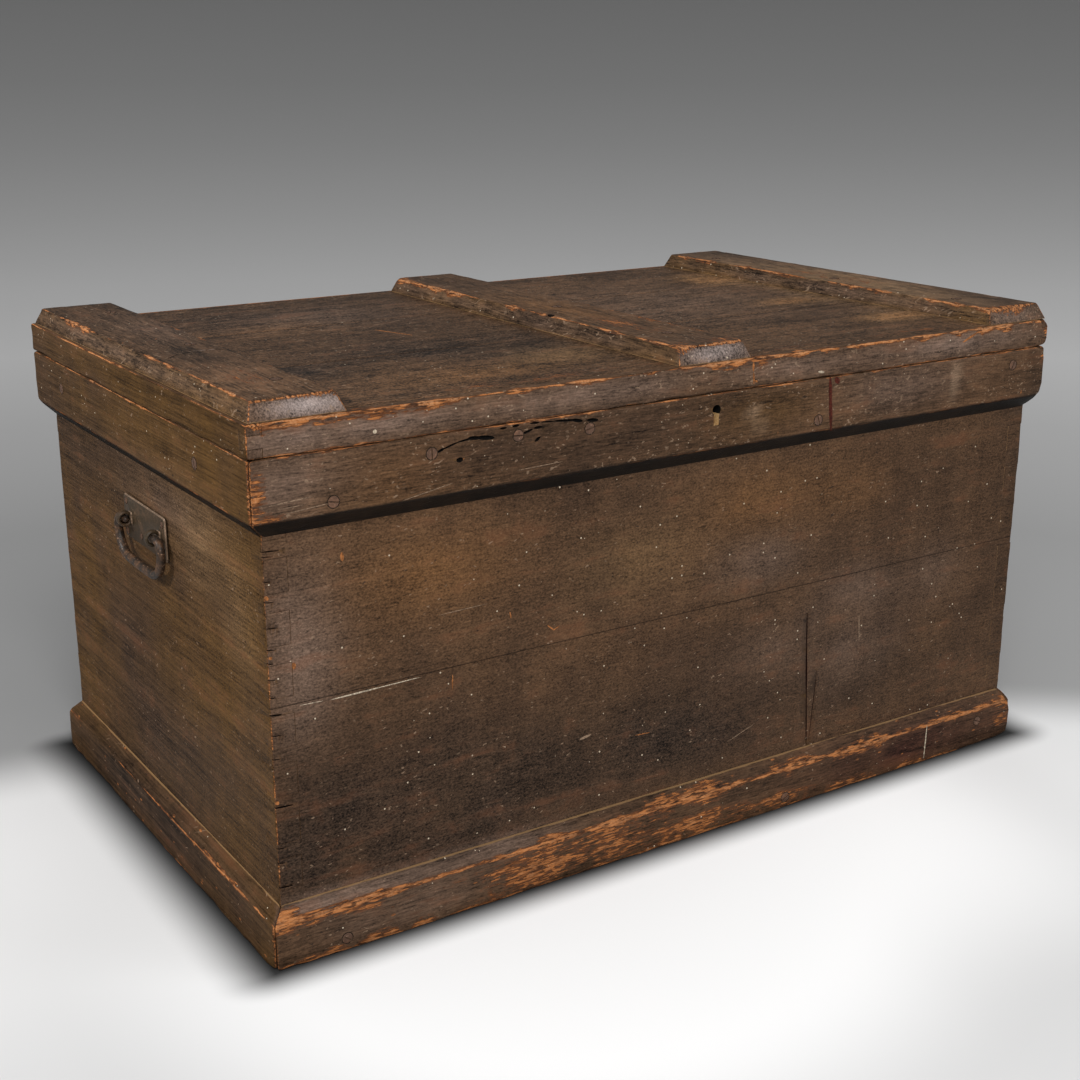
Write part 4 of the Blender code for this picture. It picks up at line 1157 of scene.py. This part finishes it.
class CHEST_OT_screws(bpy.types.Operator):
    """Countersunk screws with worn slots"""

    bl_idname = "chest.screws"
    bl_label = "Screws"

    head: bpy.props.FloatProperty(name="Head", description="Radius of a screw head", default=0.0050, unit="LENGTH")

    def model_screw(self, iron, ring):
        """One screw head at the origin, facing up, in a ring of dirt."""
        bpy.ops.object.select_all(action="DESELECT")
        bpy.ops.mesh.primitive_cylinder_add(vertices=28, radius=self.head, depth=0.002, location=(0, 0, -0.0008))
        screw = bpy.context.object
        bpy.ops.object.mode_set(mode="EDIT")
        bpy.ops.mesh.select_mode(type="FACE")
        bpy.ops.mesh.select_all(action="DESELECT")
        edit = bmesh.from_edit_mesh(screw.data)
        for face in edit.faces:
            face.select_set(face.normal.z > 0.9)
        bmesh.update_edit_mesh(screw.data)
        bpy.ops.mesh.inset(thickness=self.head * 0.22, depth=0.0003)
        bpy.ops.mesh.inset(thickness=self.head * 0.3, depth=0.0001)
        bpy.ops.object.mode_set(mode="OBJECT")
        bpy.ops.object.transform_apply(location=True, rotation=True, scale=True)
        screw.data.materials.append(iron)
        bpy.ops.object.select_all(action="DESELECT")
        bpy.ops.mesh.primitive_cube_add(size=1, location=(0, 0, 0.0009), scale=(self.head * 2.2, 0.0011, 0.0020))
        carve(screw, [bpy.context.object], ring)
        bpy.ops.object.select_all(action="DESELECT")
        bpy.ops.mesh.primitive_torus_add(
            major_segments=28, minor_segments=8, major_radius=self.head * 1.10, minor_radius=0.0005,
            location=(0, 0, -0.0001),
        )
        rim = bpy.context.object
        rim.data.materials.append(ring)
        bpy.ops.object.transform_apply(location=True, rotation=True, scale=True)
        return join_pieces([screw, rim], "screw")

    def execute(self, context):
        iron = old_iron("screw_iron", (0.080, 0.042, 0.026), (0.150, 0.072, 0.040), (0.32, 0.20, 0.13), 8.0, 0.10)
        ring = dirt("screw_ring", (0.018, 0.011, 0.007), (0.26, 0.17, 0.11))
        pattern = self.model_screw(iron, ring)
        turns = np.random.default_rng(4).uniform(0, math.pi, 80)
        count = 0
        for name, (body, side, level, places) in SCREWS.items():
            axis = SIDES[side][0]
            copies = []
            for first, second in places:
                only(pattern)
                bpy.ops.object.duplicate(linked=False)
                screw = context.object
                spot = on_face(first, second, axis, level)
                scale = HANDLE_SCREW_SCALE if "handle" in name else 1.0
                screw.scale = (scale, scale, 1)
                screw.rotation_mode = "QUATERNION"
                screw.rotation_quaternion = outward(side).to_track_quat("Z", "Y")
                screw.location = spot
                bpy.ops.object.transform_apply(location=True, rotation=True, scale=True)
                only(screw)
                bpy.ops.object.mode_set(mode="EDIT")
                bpy.ops.mesh.select_all(action="SELECT")
                bpy.ops.transform.rotate(value=turns[count], orient_axis="XYZ"[axis], center_override=spot)
                bpy.ops.object.mode_set(mode="OBJECT")
                copies.append(screw)
                count += 1
            joined = join_pieces(copies, name)
            only(joined)
            bpy.ops.object.shade_smooth_by_angle(angle=math.radians(35))
            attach(joined, body)
        bpy.data.objects.remove(pattern)
        return {"FINISHED"}


# Runs of paint, scratches and scars: body and paint, and for each its face, start, end, width and thickness,
# in tenths
RUNS = {
    "cream_runs": ("chest", "cream", (
        ("plinth", 3275, 420, 3262, 60, 18, 4), ("front", -3975, 2389, -3500, 2397, 15, 3),
        ("front", -3570, 2396, -3150, 2403, 10, 3), ("front", -4285, 2403, -4089, 2396, 6, 2),
    )),
    "pale_scratches": ("chest", "scratch", (
        ("skirt", -4527, 4241, -4183, 4263, 10, 2), ("skirt", -4400, 4154, -4007, 4185, 8, 2),
        ("skirt", -4450, 4200, -4250, 4206, 7, 2), ("skirt", -3311, 4104, -2871, 4178, 8, 2),
        ("skirt", -2160, 4201, -1736, 4214, 7, 2), ("front", 2235, 1920, 2257, 1640, 12, 2),
        ("front", -1390, 1372, -1270, 1392, 30, 3), ("front", 500, 900, 800, 1000, 8, 2),
        ("front", -2900, 2950, -2450, 2960, 7, 2),
    )),
    "lid_runs": ("lid", "cream", (
        ("skirt", 1330, 4700, 1400, 4690, 26, 3), ("skirt", -3580, 4745, -3570, 4715, 38, 4),
    )),
    "red_strips": ("chest", "ox_red", (
        ("skirt", 1490, 4618, 1513, 4350, 46, 3), ("skirt", 1500, 4480, 1537, 4100, 46, 3),
        ("skirt", 1560, 4612, 1610, 4560, 60, 3),
    )),
    "orange_scars": ("chest", "bare_light", (
        ("front", -4335, 2800, -4330, 2745, 36, 3), ("front", -3850, 3690, -3845, 3620, 34, 3),
        ("front", -4560, 3430, -4535, 3400, 34, 4), ("front", -4555, 2890, -4525, 2880, 30, 4),
        ("front", -4560, 1545, -4535, 1560, 40, 4), ("front", -1770, 2620, -1700, 2560, 14, 2),
        ("front", -1705, 2562, -1640, 2585, 12, 2), ("front", -2182, 2830, -2172, 2775, 16, 2),
        ("front", -2795, 2345, -2800, 2215, 14, 2), ("front", -720, 1250, -560, 1240, 11, 2),
    )),
    "lid_scars": ("lid", "bare_light", (
        ("top", -1801, 428, -1720, 200, 22, 3), ("top", -1725, 210, -1639, -39, 18, 3),
        ("skirt", 485, 4880, 490, 4800, 26, 3), ("skirt", 492, 4780, 500, 4680, 22, 3),
        ("skirt", 510, 4700, 545, 4690, 22, 3), ("skirt", 3360, 4800, 3560, 4880, 26, 2),
    )),
}
# The axis each of these faces looks along, and its level in metres
RUN_FACE = {
    "front": (1, FRONT_Y), "skirt": (1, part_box("skirt_front")[0].y), "plinth": (1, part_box("plinth_front")[0].y),
    "top": (2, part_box("lid_middle_board")[1].z),
}


class CHEST_OT_runs(bpy.types.Operator):
    """Runs of cream paint, scratches, scars and the red strips where the front was mended"""

    bl_idname = "chest.runs"
    bl_label = "Paint runs"

    def execute(self, context):
        looks = context.scene.chest_looks
        for name, (body, paint, runs) in RUNS.items():
            material, shader, place = begin_material(name + "_paint")
            worn = place.cloud(380.0, 4.0, 0.7)
            base = np.array(getattr(looks, paint))
            colour = worn.ease(0.35, 0.65).mix(tuple(base * 0.35), tuple(base))
            finish_material(place, shader, colour, 0.5 + worn * 0.2, worn * 0.0003, 0.1)
            drops = []
            for face, *ends, width, thick in runs:
                axis, level = RUN_FACE[face]
                start, end = on_face(*ends[:2], axis, level), on_face(*ends[2:], axis, level)
                drops.append(add_spindle(start, end, width / TENTHS, thick / TENTHS, axis))
            piece = join_pieces(drops, name)
            piece.data.materials.append(material)
            only(piece)
            bpy.ops.object.shade_smooth()
            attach(piece, body)
        return {"FINISHED"}


# Painted light on the floor far behind the chest: greys by how far they lie from a place before it
GREY_REACH = 7
BACKDROP_GREYS = (
    (0.9, 0.37), (1.6, 0.385), (2.3, 0.53), (2.85, 0.68), (3.4, 0.64), (4.0, 0.54), (4.7, 0.44), (5.3, 0.38),
    (6.2, 0.325),
)

# The shade under the plinth: half its length and depth, how far its middle lies before the origin, and its reach
FOOT_X, FOOT_Y = 0.470, 0.2885
FOOT_SHIFT = 0.0052
FOOT_SHADE = (-0.005, 0.044)

# How the floor turns up: the length of a step and their number
RISE_STEP = 0.4
RISE_COUNT = 24

# Name, place, size, power, and whether the lamp leaves the floor out or lights only the floor
LAMPS = (
    ("key", (-1.6, -2.8, 2.6), 2.2, 110, None),
    ("side", (-2.9, 0.7, 2.0), 0.4, 72, "EXCLUDE"),
    ("fill", (2.6, -2.2, 1.8), 2.0, 30, None),
    ("floor", (-0.7, -1.2, 2.6), 2.0, 19, "INCLUDE"),
)
LAMP_TARGET = Vector((0, 0, 0.25))

# The camera fitted to the photograph: place, and tilt and turn in degrees
CAMERA_PLACE = (-0.9438, -1.4448, 0.7770)
CAMERA_TILT = 17.213
CAMERA_TURN = -33.081


class CHEST_OT_stage(bpy.types.Operator):
    """Floor, light and camera"""

    bl_idname = "chest.stage"
    bl_label = "Stage"

    lens: bpy.props.FloatProperty(name="Lens", description="Focal length", default=53.17, unit="CAMERA")
    flat_radius: bpy.props.FloatProperty(
        name="Flat floor", description="Reach of the flat floor", default=1.2, unit="LENGTH"
    )
    rise: bpy.props.FloatProperty(name="Rise", description="How fast the floor turns up beyond that", default=0.05)

    def add_floor(self):
        """A round floor that turns up slowly far away, with painted light and shade on it."""
        bpy.ops.object.select_all(action="DESELECT")
        bpy.ops.mesh.primitive_circle_add(vertices=96, radius=self.flat_radius, fill_type="NGON", location=(0, 0, 0))
        floor = bpy.context.object
        floor.name = "floor"
        bpy.ops.object.mode_set(mode="EDIT")
        bpy.ops.mesh.select_mode(type="EDGE")
        bpy.ops.mesh.select_all(action="SELECT")
        bpy.ops.mesh.region_to_loop()
        reach, height = self.flat_radius, 0.0
        for step in range(1, RISE_COUNT + 1):
            new_reach = self.flat_radius + RISE_STEP * step
            new_height = self.rise * (RISE_STEP * step) ** 2
            bpy.ops.mesh.extrude_edges_move(TRANSFORM_OT_translate={"value": (0, 0, new_height - height)})
            share = new_reach / reach
            bpy.ops.transform.resize(value=(share, share, 1), center_override=(0, 0, 0))
            reach, height = new_reach, new_height
        bpy.ops.object.mode_set(mode="OBJECT")
        bpy.ops.object.shade_smooth()
        material, shader, place = begin_material("floor_with_painted_light")
        x, y = (place.node("ShaderNodeSeparateXYZ", None, {0: place}, output) for output in (0, 1))

        def far_from(spot):
            flat = place.scaled((1, 1, 0), (-spot[0], -spot[1], 0))
            return place.node("ShaderNodeVectorMath", {"operation": "LENGTH"}, {0: flat}, "Value")

        # Painted light on the floor: greys far behind the chest, a painted pool of light before it, and a painted
        # shadow where the plinth meets the floor
        stops = [(reach / GREY_REACH, (grey,) * 3) for reach, grey in BACKDROP_GREYS]
        behind = place.node("ShaderNodeValToRGB", {"stops": stops}, {0: far_from((-0.30, -0.45)) * (1 / GREY_REACH)})
        outer = y.ease(-0.50, 0.10).mix((0.66,) * 3, (0.96,) * 3)
        before = (far_from((-0.18, -0.28)) - x.ease(0.0, 0.3) * 0.12).ease(0.29, 0.48).mix(
            x.ease(-0.2, 0.25).mix((0.92,) * 3, (0.99,) * 3), x.ease(0.1, 0.45).mix(outer, (0.82,) * 3)
        )
        colour = far_from((-0.89, -2.03)).ease(2.21, 2.37).mix(before, behind)
        beside = (x.math("ABSOLUTE", x) - FOOT_X).most(0.0) * 0.72
        ahead = (y.math("ABSOLUTE", y + FOOT_SHIFT) - FOOT_Y).most(0.0)
        gap = (beside * beside + ahead * ahead) ** 0.5
        colour = gap.ease(*FOOT_SHADE).mix((0.01,) * 3, colour)
        place.tree.links.new(colour.socket, shader.inputs["Base Color"])
        shader.inputs["Roughness"].default_value = 0.9
        shader.inputs["Specular IOR Level"].default_value = 0.0
        floor.data.materials.append(material)
        return floor

    def execute(self, context):
        scene = context.scene
        scene.view_settings.view_transform = "Standard"
        floor = self.add_floor()
        world = bpy.data.worlds.new("studio")
        scene.world = world
        world.use_nodes = True
        sky = world.node_tree.nodes["Background"]
        sky.inputs[0].default_value = (0.60, 0.60, 0.60, 1)
        sky.inputs[1].default_value = 0.55
        for name, where, size, power, floor_link in LAMPS:
            bpy.ops.object.light_add(type="AREA", location=where)
            lamp = context.object
            lamp.name = name
            lamp.data.shape = "DISK"
            lamp.data.size = size
            lamp.data.energy = power
            lamp.rotation_euler = (LAMP_TARGET - Vector(where)).to_track_quat("-Z", "Y").to_euler()
            if floor_link:
                only(lamp)
                floor.select_set(True)
                bpy.ops.object.light_linking_receivers_link(link_state=floor_link)

        bpy.ops.object.camera_add(location=CAMERA_PLACE)
        camera = context.object
        camera.rotation_euler = (math.radians(90 - CAMERA_TILT), 0, math.radians(CAMERA_TURN))
        camera.data.sensor_width = 36
        camera.data.lens = self.lens
        scene.camera = camera
        return {"FINISHED"}


class CHEST_PT_panel(bpy.types.Panel):
    """Lists the pieces of the chest"""

    bl_idname = "CHEST_PT_panel"
    bl_label = "Tool chest"
    bl_space_type = "VIEW_3D"
    bl_region_type = "UI"
    bl_category = "Chest"

    def draw(self, context):
        for operator in OPERATORS:
            self.layout.operator(operator.bl_idname)


OPERATORS = (
    CHEST_OT_stage, CHEST_OT_carcass, CHEST_OT_skirt, CHEST_OT_plinth, CHEST_OT_lid, CHEST_OT_battens,
    CHEST_OT_inside, CHEST_OT_ironwork, CHEST_OT_screws, CHEST_OT_runs,
)
CLASSES = (ChestLooks, *OPERATORS, CHEST_PT_panel)


def register():
    for item in CLASSES:
        bpy.utils.register_class(item)
    bpy.types.Scene.chest_looks = bpy.props.PointerProperty(type=ChestLooks)


def unregister():
    del bpy.types.Scene.chest_looks
    for item in reversed(CLASSES):
        bpy.utils.unregister_class(item)


def main():
    register()
    for operator in OPERATORS:
        group, name = operator.bl_idname.split(".")
        getattr(getattr(bpy.ops, group), name)()


if __name__ == "__main__":
    main()
